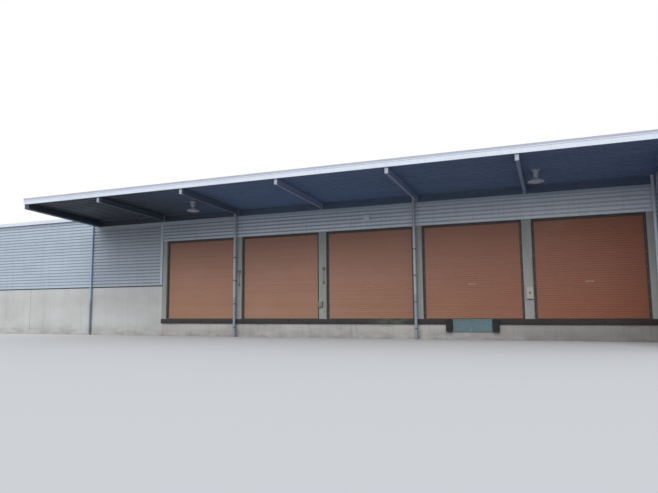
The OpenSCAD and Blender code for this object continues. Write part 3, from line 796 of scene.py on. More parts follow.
# Dock face cast in place: rougher concrete with wide pores, rubbed black below the rail, and
# darker to the right as painted shade from the side wall
DOCK_CONCRETE = Finish(
    "cast_dock_concrete", "#b9b6b0", 0.88,
    layers=(
        Layer((1900, 1900, 700), (0.4, 0.68), "#9a9893", 0.5),
        Layer((130, 130, 1500), (0.5, 0.78), "#7a7771", 0.4),
        Layer((900, 900, 90), (0.56, 0.72), "#4b4a48", 0.4, fades=(Fade("Z", 0.35, 0.65),)),
        Layer((600, 600, 220), (0.3, 0.6), "#6d675c", 0.5, fades=(Fade("Z", 0.45, 0.0),)),
        # Painted shade toward the side wall on the right
        Layer((3000, 3000, 900), (0.0, 0.4), "#5d5c5a", 0.55, fades=(Fade("X", 10.0, 16.0),)),
    ),
    reliefs=(
        Relief((30, 30, 30), (0.18, 0.06), -2.5, Pattern.SPOTS),
        Relief((120, 120, 120), (0.4, 0.7), 1.5),
    ))

# Floor slab of power-floated concrete: hard and slightly glossy, with dull worn patches
FLOATED_CONCRETE = Finish(
    "power_floated_concrete", "#9c9b98", 0.55,
    layers=(
        Layer((900, 900, 900), (0.4, 0.7), "#858481", 0.6, 0.15),
        Layer((120, 120, 120), (0.45, 0.7), "#acaba7", 0.4),
    ))

# Roll-formed steel laths with baked terracotta paint: satin, each lath a little different, dusty
# toward the floor; painted shade makes the bays darker toward the right and the heads of the left
# bays dark under the canopy
SHUTTER_PAINT = Finish(
    "terracotta_shutter_paint", "#a2765f", 0.5,
    layers=(
        Layer((4800, 4800, 100), (0.1, 1.0), "#8c6450", 0.3, pattern=Pattern.SHEETS,
              origin=(X_DOCK, 0, FLOOR_Z + 0.095)),
        Layer((2400, 2400, 1500), (0.42, 0.72), "#ad8875", 0.35, 0.08),
        Layer((1200, 1200, 400), (0.3, 0.7), "#9c7f58", 0.32, 0.15, fades=(Fade("Z", 2.6, 1.0),)),
        # Painted shade, darker toward the side wall on the right
        Layer((3000, 3000, 3000), (0.0, 0.4), "#81442b", 0.9, fades=(Fade("X", 5.0, 18.0),)),
        # Painted shade at the heads of the left bays, under the canopy
        Layer((3000, 3000, 3000), (0.0, 0.4), "#6f3e36", 0.45,
              fades=(Fade("Z", 3.2, 5.3), Fade("X", 12.0, 7.0))),
    ))

# Folded galvanised steel: dull, with rust coming through in spots, and dark as painted shade in
# the recesses beside the shutters
GUIDE_STEEL = Finish(
    "shade_darkened_galvanised_steel", "#3a322f", 0.55, metallic=0.2,
    layers=(
        Layer((80, 80, 600), (0.45, 0.7), "#4e4745", 0.5, 0.1),
        Layer((40, 40, 160), (0.58, 0.75), "#6a4a36", 0.5, 0.2),
    ))

# Rolled steel with sprayed grey-blue paint, made paler as painted light on its shaded sides: dull
# and dusty, with rust in spots, painted shade toward the open end, a painted highlight on the end
# plates at the tips, and pale foot plates at the wall beam
RAFTER_PAINT = Finish(
    "grey_blue_rafter_paint", "#93a4c3", 0.55,
    layers=(
        Layer((420, 420, 240), (0.45, 0.7), "#95a5c0", 0.4, 0.1),
        Layer((160, 160, 90), (0.62, 0.78), "#5e463a", 0.2, 0.25),
        # Painted highlight on the end plates at the tips
        Layer.even("#aab1b9", 0.8, Fade("Y", Y_TIP + 0.016, Y_TIP + 0.014)),
        # Painted shade toward the open end, away from the tips
        Layer.even("#343a42", 0.75, Fade("X", 4.0, -1.0), Fade("Y", Y_TIP, Y_TIP + 0.3)),
        Layer.even("#b5bbc0", 0.8, Fade("Y", Y_BEAM - 0.018, Y_BEAM - 0.016)),
    ))

# Roll-formed deck with baked blue paint: satin, each sheet a little different, with painted shade
# dark toward the open end and a little darker toward the right
DECK_PAINT = Finish(
    "blue_deck_paint", "#6581ad", 0.42,
    layers=(
        Layer((6000, 275, 6000), (0.1, 1.0), "#4f6890", 0.35, pattern=Pattern.SHEETS),
        Layer((2600, 1100, 1100), (0.45, 0.7), "#7089ae", 0.3, 0.15),
        Layer((900, 300, 300), (0.55, 0.8), "#3d4a63", 0.3),
        # Painted shade toward the open end
        Layer.even("#20262c", 0.95, Fade("X", 2.0, -3.8)),
        # Painted shade toward the right
        Layer.even("#566578", 0.3, Fade("X", 7.0, 13.0)),
    ))

# Weather side of the same deck: its blue has chalked to a matt, pale grey-blue, with dirt in the
# troughs
DECK_WEATHER_SIDE = Finish(
    "chalked_deck_paint", "#8796a8", 0.6,
    layers=(
        Layer((6000, 275, 6000), (0.1, 1.0), "#75859a", 0.35, pattern=Pattern.SHEETS),
        Layer((2600, 700, 700), (0.45, 0.7), "#9aa6b3", 0.4, 0.1),
        Layer((300, 120, 120), (0.55, 0.8), "#5d646b", 0.4, 0.1),
    ))

# Rolled steel channel with the same blue sprayed on: dull with dust, with painted shade dark
# toward the open end
WALL_BEAM_PAINT = Finish(
    "blue_wall_beam_paint", "#4a5b74", 0.5,
    layers=(
        Layer((900, 900, 200), (0.42, 0.7), "#5f6e86", 0.4),
        Layer((70, 70, 300), (0.56, 0.8), "#3a4454", 0.4, 0.1),
        # Painted shade toward the open end
        Layer.even("#23292f", 0.85, Fade("X", 2.0, -4.0)),
    ))

# Folded coping of coated grey-lilac sheet: satin, chalked in patches, its lowest 32 mm as white
# as the fascia under it
COPING_SHEET = Finish(
    "coated_coping_sheet", "#a9abb8", 0.5,
    layers=(
        Layer((1400, 1400, 200), (0.42, 0.7), "#bfc1ca", 0.45, 0.1),
        Layer((90, 90, 300), (0.55, 0.8), "#85868f", 0.45),
        Layer.even("#d5dce6", 0.9, Fade("Z", COPING_Z + 0.034, COPING_Z + 0.032)),
    ))

# Boxed steel beam with sprayed navy paint: satin, greyed by dust
BEAM_PAINT = Finish(
    "navy_end_beam_paint", "#38434f", 0.5,
    layers=(
        Layer((900, 900, 200), (0.42, 0.7), "#4b5763", 0.45),
        Layer((70, 70, 300), (0.56, 0.8), "#272e36", 0.45, 0.1),
    ))

# Extruded hard rubber: black and matt, bloomed grey and worn through to green-brown in places,
# with a torn skin, and darker toward the right as painted shade
RAIL_RUBBER = Finish(
    "hard_rubber_rail", "#2a282a", 0.72,
    layers=(
        Layer((700, 700, 110), (0.42, 0.7), "#3c3e40", 0.5, 0.1),
        Layer((260, 260, 40), (0.56, 0.74), "#5a5048", 0.4, 0.15),
        Layer((500, 500, 90), (0.35, 0.6), "#5d6a59", 0.7,
              fades=(Fade("X", 7.2, 8.0), Fade("X", 9.5, 9.1))),
        # Painted shade toward the side wall on the right
        Layer((3000, 3000, 300), (0.0, 0.5), "#241912", 0.85, fades=(Fade("X", 7.0, 16.0),)),
    ),
    reliefs=(Relief((60, 60, 25), (0.4, 0.7), 1.5),))

# Moulded rubber: a deeper, matt black, scuffed grey, with a pitted skin
BUFFER_RUBBER = Finish(
    "moulded_rubber", "#1a1e22", 0.68,
    layers=(
        Layer((200, 200, 60), (0.45, 0.7), "#2f3336", 0.5, 0.12),
        Layer((60, 60, 200), (0.6, 0.8), "#57544f", 0.4),
    ),
    reliefs=(Relief((25, 25, 25), (0.4, 0.7), 0.8),))

# Steel lip with brushed blue-green machine paint: satin, scraped to rusty metal where it is
# stepped on
LEVELLER_PAINT = Finish(
    "worn_machine_paint", "#587378", 0.45,
    layers=(
        Layer((500, 500, 160), (0.42, 0.7), "#4d686e", 0.5),
        Layer((120, 120, 30), (0.56, 0.66), "#6d5344", 0.45, 0.3),
        Layer((60, 60, 300), (0.6, 0.78), "#87a3a6", 0.4),
    ),
    reliefs=(Relief((120, 120, 30), (0.56, 0.66), -0.6),))

# Drawn steel pipes with pale grey paint: satin, standing in bluer cast feet that are dirty
# below. The pipe at the open corner is newer and blue, the one at the side wall is made paler as
# painted light, and the straps under the canopy are dark
PIPE_PAINT = Finish(
    "pale_grey_pipe_paint", "#a6adb5", 0.4,
    layers=(
        Layer((80, 80, 900), (0.45, 0.7), "#b9c0c7", 0.4),
        Layer((60, 60, 260), (0.56, 0.8), "#78848f", 0.4, 0.15),
        Layer.even("#6a8296", 0.55, Fade("Z", PIPE_FOOT_Z + 0.02, PIPE_FOOT_Z)),
        Layer.even("#9dbbdc", 0.7, Fade.left_of(X_CORNER), Fade("Z", 1.9, 2.1)),
        # Painted light on the pipe at the side wall
        Layer.even("#d5dcec", 0.5, Fade.right_of(X_LAST_COLUMN)),
        Layer((0, 0, STRAP_PITCH / MM), (27, 24), "#2f343a", 0.85, pattern=Pattern.JOINTS,
              fades=(Fade.right_of(X_DOCK), Fade.left_of(X_LAST_COLUMN), Fade("Y", 1.0, 0.0),
                     Fade("Z", 5.0, 4.9)),
              origin=(0, 0, STRAP_Z)),
        Layer((200, 200, 200), (0.3, 0.6), "#6f6c66", 0.5, 0.2, fades=(Fade("Z", 0.6, 0.0),)),
    ))

# Roll-formed sheets of aluminium-zinc coated steel: dull silver, with long weather runs down the
# slope and a little rust
ROOF_SHEET = Finish(
    "aluminium_zinc_roof_sheet", "#a2a9ae", 0.5, metallic=0.45,
    layers=(
        Layer((1000, 30000, 30000), (0.2, 1.0), "#8f979d", 0.3, pattern=Pattern.SHEETS),
        Layer((160, 3200, 3200), (0.48, 0.75), "#7c8388", 0.45, 0.15),
        Layer((2500, 2500, 2500), (0.45, 0.7), "#b3b9bd", 0.35),
        Layer((300, 900, 900), (0.62, 0.75), "#7a6250", 0.4, 0.25),
    ))

# Folded zinc: dull grey metal, clouded by weather
ZINC_GUTTER = Finish(
    "folded_zinc", "#98a0a8", 0.42, metallic=0.6,
    layers=(
        Layer((600, 600, 120), (0.42, 0.7), "#7f878e", 0.45, 0.15),
        Layer((60, 60, 200), (0.58, 0.78), "#6a6d6f", 0.45, 0.2),
    ))

# Pressed shades with stove enamel: pale grey and glossy under a film of dust
LAMP_ENAMEL = Finish(
    "stove_enamel", "#c2cbd3", 0.32, coat=0.3,
    layers=(
        Layer((160, 160, 160), (0.42, 0.7), "#9fa7ae", 0.45, 0.2),
        Layer((40, 40, 90), (0.6, 0.8), "#7f827f", 0.35),
    ))

# Pressed housing with near-white enamel: glossy, with a little dust
LIGHT_HOUSING = Finish(
    "white_light_housing", "#eceff0", 0.35, coat=0.2,
    layers=(Layer((120, 120, 120), (0.45, 0.7), "#c9cecf", 0.35, 0.15),))

# Moulded plastic boxes: grey and satin, dusty on their lids, with the leveller's box paler and
# its conduit yellowed
BOX_PAINT = Finish(
    "moulded_switch_box", "#7d807e", 0.45,
    layers=(
        Layer((160, 160, 160), (0.42, 0.7), "#6b6d69", 0.4, 0.15),
        Layer((30, 30, 120), (0.58, 0.8), "#6b6a66", 0.4),
        Layer.even("#b8aea0", 0.8, Fade.right_of(X_PANEL_COLUMN),
                   Fade("Z", PANEL_TOP + 0.025, PANEL_TOP + 0.005)),
        Layer.even("#b39a63", 0.7, Fade.right_of(X_PANEL_COLUMN),
                   Fade("Z", PANEL_TOP + 0.005, PANEL_TOP + 0.025)),
    ))

# Moulded dark plastic of rotary switches: satin, rubbed grey on the grips, the leveller's one
# faded
SWITCH_KNOB = Finish(
    "dark_switch_knob", "#2c2d30", 0.4,
    layers=(
        Layer((20, 20, 20), (0.5, 0.75), "#56585b", 0.4, 0.1),
        Layer.even("#77746c", 0.7, Fade.right_of(X_PANEL_COLUMN)),
    ))

# Moulded pale plastic of push buttons: satin, greyed by hands
PALE_BUTTON = Finish(
    "pale_push_button", "#b4b7b7", 0.4,
    layers=(Layer((15, 15, 15), (0.5, 0.75), "#8d8f8e", 0.4, 0.1),))

# Gunned silicone sealant, smoothed by hand: grey and dull, with dust stuck to it
SEALANT = Finish(
    "joint_sealant", "#7c7d7b", 0.6,
    layers=(Layer((60, 60, 400), (0.42, 0.7), "#5f5f5c", 0.5, 0.15),))

# Pressed glass, milky inside: glossy but dusted outside, unlit
LAMP_GLASS = Finish(
    "milky_lamp_glass", "#c4d3e8", 0.3, coat=0.4,
    layers=(Layer((90, 90, 90), (0.42, 0.7), "#b9bfc2", 0.5, 0.2),))

# Pressed plates with baked lacquer, paler than the laths: smooth, rubbed by hands
BRIGHT_PLATE = Finish(
    "lacquered_lock_plate", "#a47e69", 0.35,
    layers=(Layer((30, 30, 30), (0.45, 0.7), "#8d6f5d", 0.45, 0.2),))

# Turned brass cylinders: soft yellow-brown metal dulled by air, with dark grease in the keyholes
LOCK_BRASS = Finish(
    "dull_lock_brass", "#a0806a", 0.42, metallic=0.5,
    layers=(Layer((12, 12, 12), (0.5, 0.75), "#5d4635", 0.5, 0.2),))

# Cold-headed screws and bolts with zinc plating: bright grey metal, browned in spots
PLATED_FASTENER = Finish(
    "zinc_plated_fastener", "#9aa0a5", 0.38, metallic=0.85,
    layers=(Layer((30, 30, 30), (0.5, 0.75), "#7b6a58", 0.5, 0.25),))

NODE_FINISHES: dict[str, Finish] = {
    "dock_wall": DOCK_CONCRETE, "floor_slab": FLOATED_CONCRETE, "head_beam": COLUMN_CONCRETE,
    "shutter_guides": GUIDE_STEEL, "wall_flashings": WALL_TRIM, "verge_flashings": WHITE_TRIM,
    "roof_front_slope": ROOF_SHEET, "roof_rear_slope": ROOF_SHEET, "ridge_cap": ROOF_SHEET,
    "front_gutter": WHITE_TRIM, "rear_gutter": WHITE_TRIM, "bumper_rail": RAIL_RUBBER,
    "dock_leveller": LEVELLER_PAINT, "dock_bumpers": BUFFER_RUBBER, "downpipes": PIPE_PAINT,
    "canopy_wall_beam": WALL_BEAM_PAINT, "canopy_end_beam": BEAM_PAINT,
    "canopy_rafters": RAFTER_PAINT, "canopy_deck": DECK_PAINT,
    "canopy_gutter": ZINC_GUTTER, "canopy_fascia": WHITE_TRIM, "canopy_coping": COPING_SHEET,
    "lamp_left": LAMP_ENAMEL, "lamp_right": LAMP_ENAMEL, "wall_light": LIGHT_HOUSING,
    "control_boxes": BOX_PAINT, "cladding_over_doors": DOOR_CLADDING,
    "cladding_left_bay": BAY_CLADDING, "flank_cladding": FLANK_CLADDING,
}


def dress_nodes() -> None:
    """Gives every node of the frame its finish, by its name or by a word in it."""
    families = {"column": COLUMN_CONCRETE, "shutter": SHUTTER_PAINT, "base": PRECAST_CONCRETE,
                "cladding": WALL_CLADDING}
    for name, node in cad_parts.items():
        finish = NODE_FINISHES.get(name)
        if finish is None:
            finish = next(f for word, f in families.items() if word in name)
        for slot in node.material_slots:
            slot.material = finish.material()


@dataclass
class Walls:
    """Screws of the cladding and sealed joints of the concrete base walls.

    Attributes:
        rib_pitch: Distance from one rib of the cladding to the next.
        rib_flat: Height of the flat between two grooves.
        post_pitch: Distance between the posts that the sheets are screwed to.
        end_gap: Distance of the outer screws from the ends of a wall.
        head_rows: Rows of screws over the shutters.
        screw_across: Width of a screw's head.
        panel_l: Length of one concrete panel.
        joint_w: Width of the sealant between two panels.
        joint_t: How far the sealant swells out.
    """

    rib_pitch: float = RIB_PITCH
    rib_flat: float = 0.105
    post_pitch: float = 1.2
    end_gap: float = 0.3
    head_rows: int = 3
    screw_across: float = 0.011
    panel_l: float = 5.0
    joint_w: float = 0.022
    joint_t: float = 0.002

    def build(self) -> None:
        """Builds the pieces of every wall."""
        self.screw_wall("cladding_left_section", FRONT)
        self.screw_wall("cladding_left_bay", FRONT)
        self.screw_over_doors()
        self.screw_wall("rear_cladding", REAR)
        self.screw_wall("left_end_cladding", LEFT)
        self.screw_wall("right_end_cladding", RIGHT)
        self.screw_wall("flank_cladding", LEFT)
        self.seal_joints()

    def screw_wall(self, node: str, out: Point) -> None:
        """Screws one clad wall to its posts, in every second rib.

        Args:
            node: Node of the cladding.
            out: Direction that the wall faces.
        """
        low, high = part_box(node)
        along = 0 if out[1] else 1
        across = 1 - along
        length = high[along] - low[along] - 2 * self.end_gap
        count = round(length / self.post_pitch) + 1
        rows = int((WALL_TOP - low.z) / self.rib_pitch / 2)
        at = Vector((0, 0, low.z + self.rib_flat / 2))
        at[along] = low[along] + self.end_gap
        at[across] = high[across] if out[across] > 0 else low[across]
        step = Vector((0, 0, 0))
        step[along] = length / (count - 1)
        screws = bolts(at, out, self.screw_across, (count, step),
                       (rows, (0, 0, 2 * self.rib_pitch)))
        screws.done(f"{node}_screws", PLATED_FASTENER, "gutter_zinc")

    def screw_over_doors(self) -> None:
        """Screws the cladding over the shutters."""
        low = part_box("cladding_over_doors")[0]
        count = round((X_FLANK - low.x) / self.post_pitch)
        step = (X_FLANK - low.x) / count
        at = (low.x + step / 2, low.y, HEAD_Z + self.rib_flat / 2)
        screws = bolts(at, FRONT, self.screw_across, (count, (step, 0, 0)),
                       (self.head_rows, (0, 0, 2 * self.rib_pitch)))
        screws.done("cladding_over_doors_screws", PLATED_FASTENER, "gutter_zinc")

    def seal_joints(self) -> None:
        """Seals the upright joints between the concrete panels of each base wall."""
        corner, bay_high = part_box("base_left_bay")
        low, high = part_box("rear_base")
        half, t, top = self.joint_w / 2, self.joint_t, bay_high.z
        joints = Shape.block((-half, corner.y - t, 0), (half, corner.y + t, top))
        joints.spread([(low.x + self.panel_l, 0, 0), (corner.x, 0, 0)])
        behind = Shape.block((-half, high.y - t, 0), (half, high.y + t, top))
        behind.spread([(x, 0, 0) for x in joint_stations(low.x, high.x, self.panel_l)])
        sides = Shape.block((-t, -half, 0), (t, half, top))
        sides.spread([(x, y, 0) for x in (low.x, high.x)
                      for y in joint_stations(corner.y, high.y, self.panel_l)])
        joints.join(behind, sides).bevel(t / 2)
        joints.done("base_wall_joints", SEALANT, "rail_rubber")


@dataclass
class Shutters:
    """Fastenings and seals of the roller shutters.

    Attributes:
        bays: Number of shutters.
        bolt_across: Width of a guide bolt's head.
        bolt_pitch: Distance between the bolts of a guide.
        bolt_inset: Distance of the bolts from the column.
        seal_h: Height of the rubber seal under a bottom bar, as seen from the front.
        seal_t: How far the seal stands out from the bar.
        lock_z: Height of the lock plates over the dock floor.
        grip_out: How far a grip stands out from its lock plate.
        rose: Lock cylinder in its round rose.
        rose_reach: Distance of a lock cylinder from the middle of its plate.
        plate_w: Width of the bright plate over a lock.
        plate_h: Height of that plate.
        plate_t: Thickness of that plate.
        plate_rim: Width of its border.
        plate_in: How far its back lies behind the guides' front.
    """

    bays: int = 5
    bolt_across: float = 0.016
    bolt_pitch: float = 0.6
    bolt_inset: float = 0.055
    seal_h: float = 0.022
    seal_t: float = 0.004
    lock_z: float = 1.55
    grip_out: float = 0.022
    rose: Stud = Stud(0.022, 0.008, 0.008, 0.006)
    rose_reach: float = 0.08
    plate_w: float = 0.33
    plate_h: float = 0.078
    plate_t: float = 0.002
    plate_rim: float = 0.006
    plate_in: float = 0.006

    def build(self) -> None:
        """Builds the guide bolts, the seals and the lock plates with their cylinders."""
        self.bolt_guides()
        self.seal_bars()
        self.fit_locks()

    def openings(self) -> list[tuple[float, float]]:
        """Returns the left and right side of each shutter opening."""
        columns = [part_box(f"column_{i}") for i in range(self.bays + 1)]
        return [(left[1].x, right[0].x) for left, right in zip(columns, columns[1:])]

    def bolt_guides(self) -> None:
        """Bolts both guides of every shutter, up to the strip at its head."""
        low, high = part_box("shutter_guides")
        rows = int((high.z - low.z) / self.bolt_pitch)
        heads = bolts((0, low.y, low.z + self.bolt_pitch / 2), FRONT, self.bolt_across,
                      (rows, (0, 0, self.bolt_pitch)))
        heads.spread([(x, 0, 0) for left, right in self.openings()
                      for x in (left + self.bolt_inset, right - self.bolt_inset)])
        heads.done("shutter_guide_bolts", PLATED_FASTENER, "guide_steel")

    def seal_bars(self) -> None:
        """Lays a bowed rubber seal along the foot of each bottom bar."""
        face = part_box("shutter_guides")[0].y + MM
        left, right = self.openings()[0]
        edge = 2 * self.bolt_inset + MM
        seal = Shape.block((left + edge, face - self.seal_t, FLOOR_Z),
                           (right - edge, face + self.seal_t, FLOOR_Z + self.seal_h))
        seal.faces(FRONT).inset(self.seal_t).extrude((0, -self.seal_t, 0)).bevel(MM, 2)
        seal.spread([(start - left, 0, 0) for start, _ in self.openings()])
        seal.done("shutter_bottom_seals", BUFFER_RUBBER, "bumper_rubber")

    def fit_locks(self) -> None:
        """Fits a lock plate behind each grip, with a lock cylinder on both sides of the grip."""
        plate_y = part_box("shutter_1")[0].y + self.grip_out
        z = FLOOR_Z + self.lock_z
        middles = [(left + right) / 2 for left, right in self.openings()]
        rose = self.rose.model((0, plate_y, z))
        rose.inset(self.rose.rim / 2).extrude((0, self.rose.grip_t / 2, 0))
        rose.spread([(x + side * self.rose_reach, 0, 0) for x in middles for side in (-1, 1)])
        rose.done("shutter_lock_cylinders", LOCK_BRASS, "guide_steel")
        w, h, t = self.plate_w / 2, self.plate_h / 2, self.plate_t
        back_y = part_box("shutter_guides")[0].y + self.plate_in
        plate = Shape.block((-w, plate_y - t, z - h), (w, back_y, z + h))
        plate.faces(FRONT).inset(self.plate_rim).extrude((0, -t / 2, 0))
        plate.bevel(MM).spread([(x, 0, 0) for x in middles])
        plate.done("shutter_lock_plates", BRIGHT_PLATE, "guide_steel")


@dataclass
class Dock:
    """Rubber rail, buffers and leveller of the dock edge.

    Attributes:
        rail_length: Longest rail section.
        rail_gap: Gap between two sections.
        rail_round: Radius of a section's edges.
        bolt_across: Width of a bolt's head.
        bolt_pitch: Distance between the bolts of the rail.
        buffer_w: Width of one buffer.
        pads: Rubber pads in one buffer.
        pad_gap: Gap between two pads.
        pad_round: Width of a pad's bevelled edges.
        angle_t: Thickness of the steel angles beside the pads.
        angle_end: How much shorter an angle is than the pads at each end.
        angle_in: How far its front lies behind theirs.
        rod_r: Radius of the rods through the pads.
        rod_out: How far a rod stands out of the angles.
        rod_end: Distance of a rod from the ends of the pads.
        rod_back: Distance of a rod from the back of the pads.
        knuckles: Number of hinge knuckles on the lip.
        knuckle_r: Radius of a knuckle.
        knuckle_l: Length of a knuckle.
        knuckle_rim: Width of the bevelled rim on its ends.
        knuckle_in: How far the knuckles lie behind the front of the lip.
        lip_end: Distance of the outer knuckles from the ends of the lip.
    """

    rail_length: float = 2.7
    rail_gap: float = 0.01
    rail_round: float = 0.018
    bolt_across: float = 0.024
    bolt_pitch: float = 0.6
    buffer_w: float = 0.29
    pads: int = 11
    pad_gap: float = 0.003
    pad_round: float = 0.004
    angle_t: float = 0.01
    angle_end: float = 0.03
    angle_in: float = 0.06
    rod_r: float = 0.011
    rod_out: float = 0.012
    rod_end: float = 0.12
    rod_back: float = 0.062
    knuckles: int = 9
    knuckle_r: float = 0.028
    knuckle_l: float = 0.11
    knuckle_rim: float = 0.008
    knuckle_in: float = 0.005
    lip_end: float = 0.05

    def build(self) -> None:
        """Builds the rail, the buffers and the knuckles of the lip."""
        self.lay_rail()
        self.stack_buffers()
        self.hinge_lip()

    def lay_rail(self) -> None:
        """Lays rail sections with rounded edges on both sides of the leveller, and bolts them."""
        low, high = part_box("bumper_rail")
        gap_low, gap_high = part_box("dock_bumpers")
        sections, heads = [], []
        for start, end in ((low.x, gap_low.x), (gap_high.x, high.x)):
            count = math.ceil((end - start) / self.rail_length)
            length = (end - start - (count - 1) * self.rail_gap) / count
            section = Shape.block((start, low.y, low.z), (start + length, high.y, high.z))
            section.bevel(self.rail_round, 3)
            sections.append(section.array(count, (length + self.rail_gap, 0, 0)))
            count = round((end - start) / self.bolt_pitch)
            step = (end - start) / count
            at = (start + step / 2, low.y - MM, (low.z + high.z) / 2)
            heads.append(bolts(at, FRONT, self.bolt_across, (count, (step, 0, 0))))
        rail = sections[0].join(sections[1]).done("rail_sections", RAIL_RUBBER, "rail_rubber")
        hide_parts("bumper_rail")
        heads[0].join(heads[1]).done("rail_bolts", GUIDE_STEEL, "guide_steel")

    def stack_buffers(self) -> None:
        """Builds each buffer from upright rubber pads on rods between two steel angles."""
        low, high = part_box("dock_bumpers")
        width, gap, t = self.buffer_w, self.pad_gap, self.angle_t
        places = [(low.x, 0, 0), (high.x - width, 0, 0)]
        pad_w = (width - 2 * t - (self.pads + 1) * gap) / self.pads
        pad = Shape.block((t + gap, low.y, low.z), (t + gap + pad_w, high.y, high.z))
        pad.bevel(self.pad_round).array(self.pads, (pad_w + gap, 0, 0)).spread(places)
        pads = pad.done("buffer_pads", BUFFER_RUBBER, "bumper_rubber")
        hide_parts("dock_bumpers")
        front, bottom, top = low.y + self.angle_in, low.z + self.angle_end, high.z - self.angle_end
        left, right = (Shape.block((x, front, bottom), (x + t, high.y, top)).bevel(2 * MM)
                       for x in (0, width - t))
        rod_y, rod_z = high.y - self.rod_back, low.z + self.rod_end
        rods = Shape.rod((-self.rod_out, rod_y, rod_z), (width + self.rod_out, rod_y, rod_z),
                         self.rod_r, 12)
        rods.array(2, (0, 0, high.z - low.z - 2 * self.rod_end))
        left.join(right, rods).spread(places).done("buffer_angles", GUIDE_STEEL, "guide_steel")

    def hinge_lip(self) -> None:
        """Puts the hinge knuckles on the upper edge of the lip."""
        low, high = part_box("dock_leveller")
        x, y, z = low.x + self.lip_end, low.y + self.knuckle_in, high.z - self.knuckle_r
        knuckle = Shape.rod((x, y, z), (x + self.knuckle_l, y, z), self.knuckle_r)
        knuckle.pick(lambda normal: abs(normal.x) > FACING).inset(self.knuckle_rim)
        knuckle.bevel(2 * MM)
        pitch = (high.x - low.x - 2 * self.lip_end - self.knuckle_l) / (self.knuckles - 1)
        knuckle.array(self.knuckles, (pitch, 0, 0))
        knuckle.done("lip_knuckles", LEVELLER_PAINT, "leveller_paint")


@dataclass
class Canopy:
    """Weather side, bolts, joint covers and lamp glasses of the canopy.

    Attributes:
        coat_t: Thickness of the coat on the weather side of the deck.
        coat_tilt: Least upward part of the normal of a face that is coated.
        sheet_l: Length of one fascia or coping sheet.
        cover_w: Width of a joint cover.
        cover_t: Thickness of a joint cover.
        rafters: Number of rafters.
        rafter_pitch: Distance between two rafters.
        rafter_w: Width of a rafter.
        bolt_across: Width of a bolt's head.
        bolt_gauge: Distance between the two bolts of a row.
        tip_drop: Distance of the upper bolts from the top of the end plate.
        tip_pitch: Distance of the lower bolts from the upper ones.
        foot_t: Thickness of a foot plate.
        foot_rise: Height of the bolts of a foot plate over the lower edge of the wall beam.
        glass_edge: Width of the shade's edge and of the flat rim of the glass.
        glass_rise: Height of the glass over the edge of its shade.
        glass_t: Thickness of the glass at its rim.
        glass_bowl: Drop of each step of the bowed glass, and how much narrower it gets.
    """

    coat_t: float = 0.001
    coat_tilt: float = 0.2
    sheet_l: float = 4.88
    cover_w: float = 0.09
    cover_t: float = 0.003
    rafters: int = 5
    rafter_pitch: float = 4.8
    rafter_w: float = 0.14
    bolt_across: float = 0.03
    bolt_gauge: float = 0.09
    tip_drop: float = 0.07
    tip_pitch: float = 0.11
    foot_t: float = 0.015
    foot_rise: float = 0.05
    glass_edge: float = 0.02
    glass_rise: float = 0.012
    glass_t: float = 0.01
    glass_bowl: tuple[tuple[float, float], ...] = ((0.03, 0.75), (0.02, 0.6), (0.008, 0.4))

    def build(self) -> None:
        """Builds the weather side, the joint covers, the rafter bolts and the lamp glasses."""
        self.lay_weather_side()
        self.cover_fascia()
        self.cover_coping()
        self.bolt_rafters()
        self.glaze_lamps()

    def lay_weather_side(self) -> None:
        """Lays a coat of paler paint over the upper side of the deck."""
        coat = Shape.copy_of("canopy_deck").pick(lambda normal: normal.z < self.coat_tilt)
        bpy.ops.mesh.delete(type="FACE")
        coat.modify("SOLIDIFY", thickness=self.coat_t, offset=1.0)
        coat.done("canopy_deck_weather_side", DECK_WEATHER_SIDE, "roof_sheet")

    def cover_fascia(self) -> None:
        """Covers the joints of the fascia sheets with flat straps, up to the coping."""
        low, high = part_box("canopy_fascia")
        t, half = self.cover_t, self.cover_w / 2
        strap = Shape.block((-half, low.y - t, low.z - t), (half, low.y, COPING_Z)).bevel(MM)
        strap.spread([(x, 0, 0) for x in joint_stations(low.x, high.x, self.sheet_l)])
        strap.done("fascia_joint_straps", WHITE_TRIM, "flashing")

    def cover_coping(self) -> None:
        """Laps a folded cover over each joint of the coping, down its front."""
        low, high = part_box("canopy_coping")
        t, half = self.cover_t, self.cover_w / 2
        cover = Shape.block((-half, low.y - t, high.z), (half, high.y, high.z + t)).bevel(MM)
        front = Shape.block((-half, low.y - t, low.z), (half, low.y, high.z + t)).bevel(MM)
        cover.join(front)
        cover.spread([(x, 0, 0) for x in joint_stations(low.x, high.x, self.sheet_l)])
        cover.done("coping_joint_covers", COPING_SHEET, "coping")

    def bolt_rafters(self) -> None:
        """Bolts the end plate and the foot plate of each rafter."""
        low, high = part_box("canopy_rafters")
        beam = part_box("canopy_wall_beam")[0]
        x, pair = low.x + self.rafter_w / 2 - self.bolt_gauge / 2, (2, (self.bolt_gauge, 0, 0))
        tip = bolts((x, low.y, high.z - self.tip_drop), FRONT, self.bolt_across, pair,
                    (2, (0, 0, -self.tip_pitch)))
        foot = bolts((x, beam.y - self.foot_t, beam.z + self.foot_rise), FRONT, self.bolt_across,
                     pair)
        tip.join(foot).array(self.rafters, (self.rafter_pitch, 0, 0))
        tip.done("rafter_bolts", PLATED_FASTENER, "canopy_steel")

    def glaze_lamps(self) -> None:
        """Closes the shade of each lamp with a bowed glass."""
        for name in ("lamp_left", "lamp_right"):
            low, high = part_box(name)
            x, y = (low.x + high.x) / 2, (low.y + high.y) / 2
            rim, radius = low.z + self.glass_rise, (high.x - low.x) / 2 - self.glass_edge
            glass = Shape.rod((x, y, rim), (x, y, rim + self.glass_t), radius, 40)
            glass.faces(DOWN).inset(self.glass_edge)
            for drop, share in self.glass_bowl:
                glass.extrude((0, 0, -drop)).resize((share, share, 1), (x, y, 0))
            glass.done(f"{name}_glass", LAMP_GLASS, "lamp_paint")


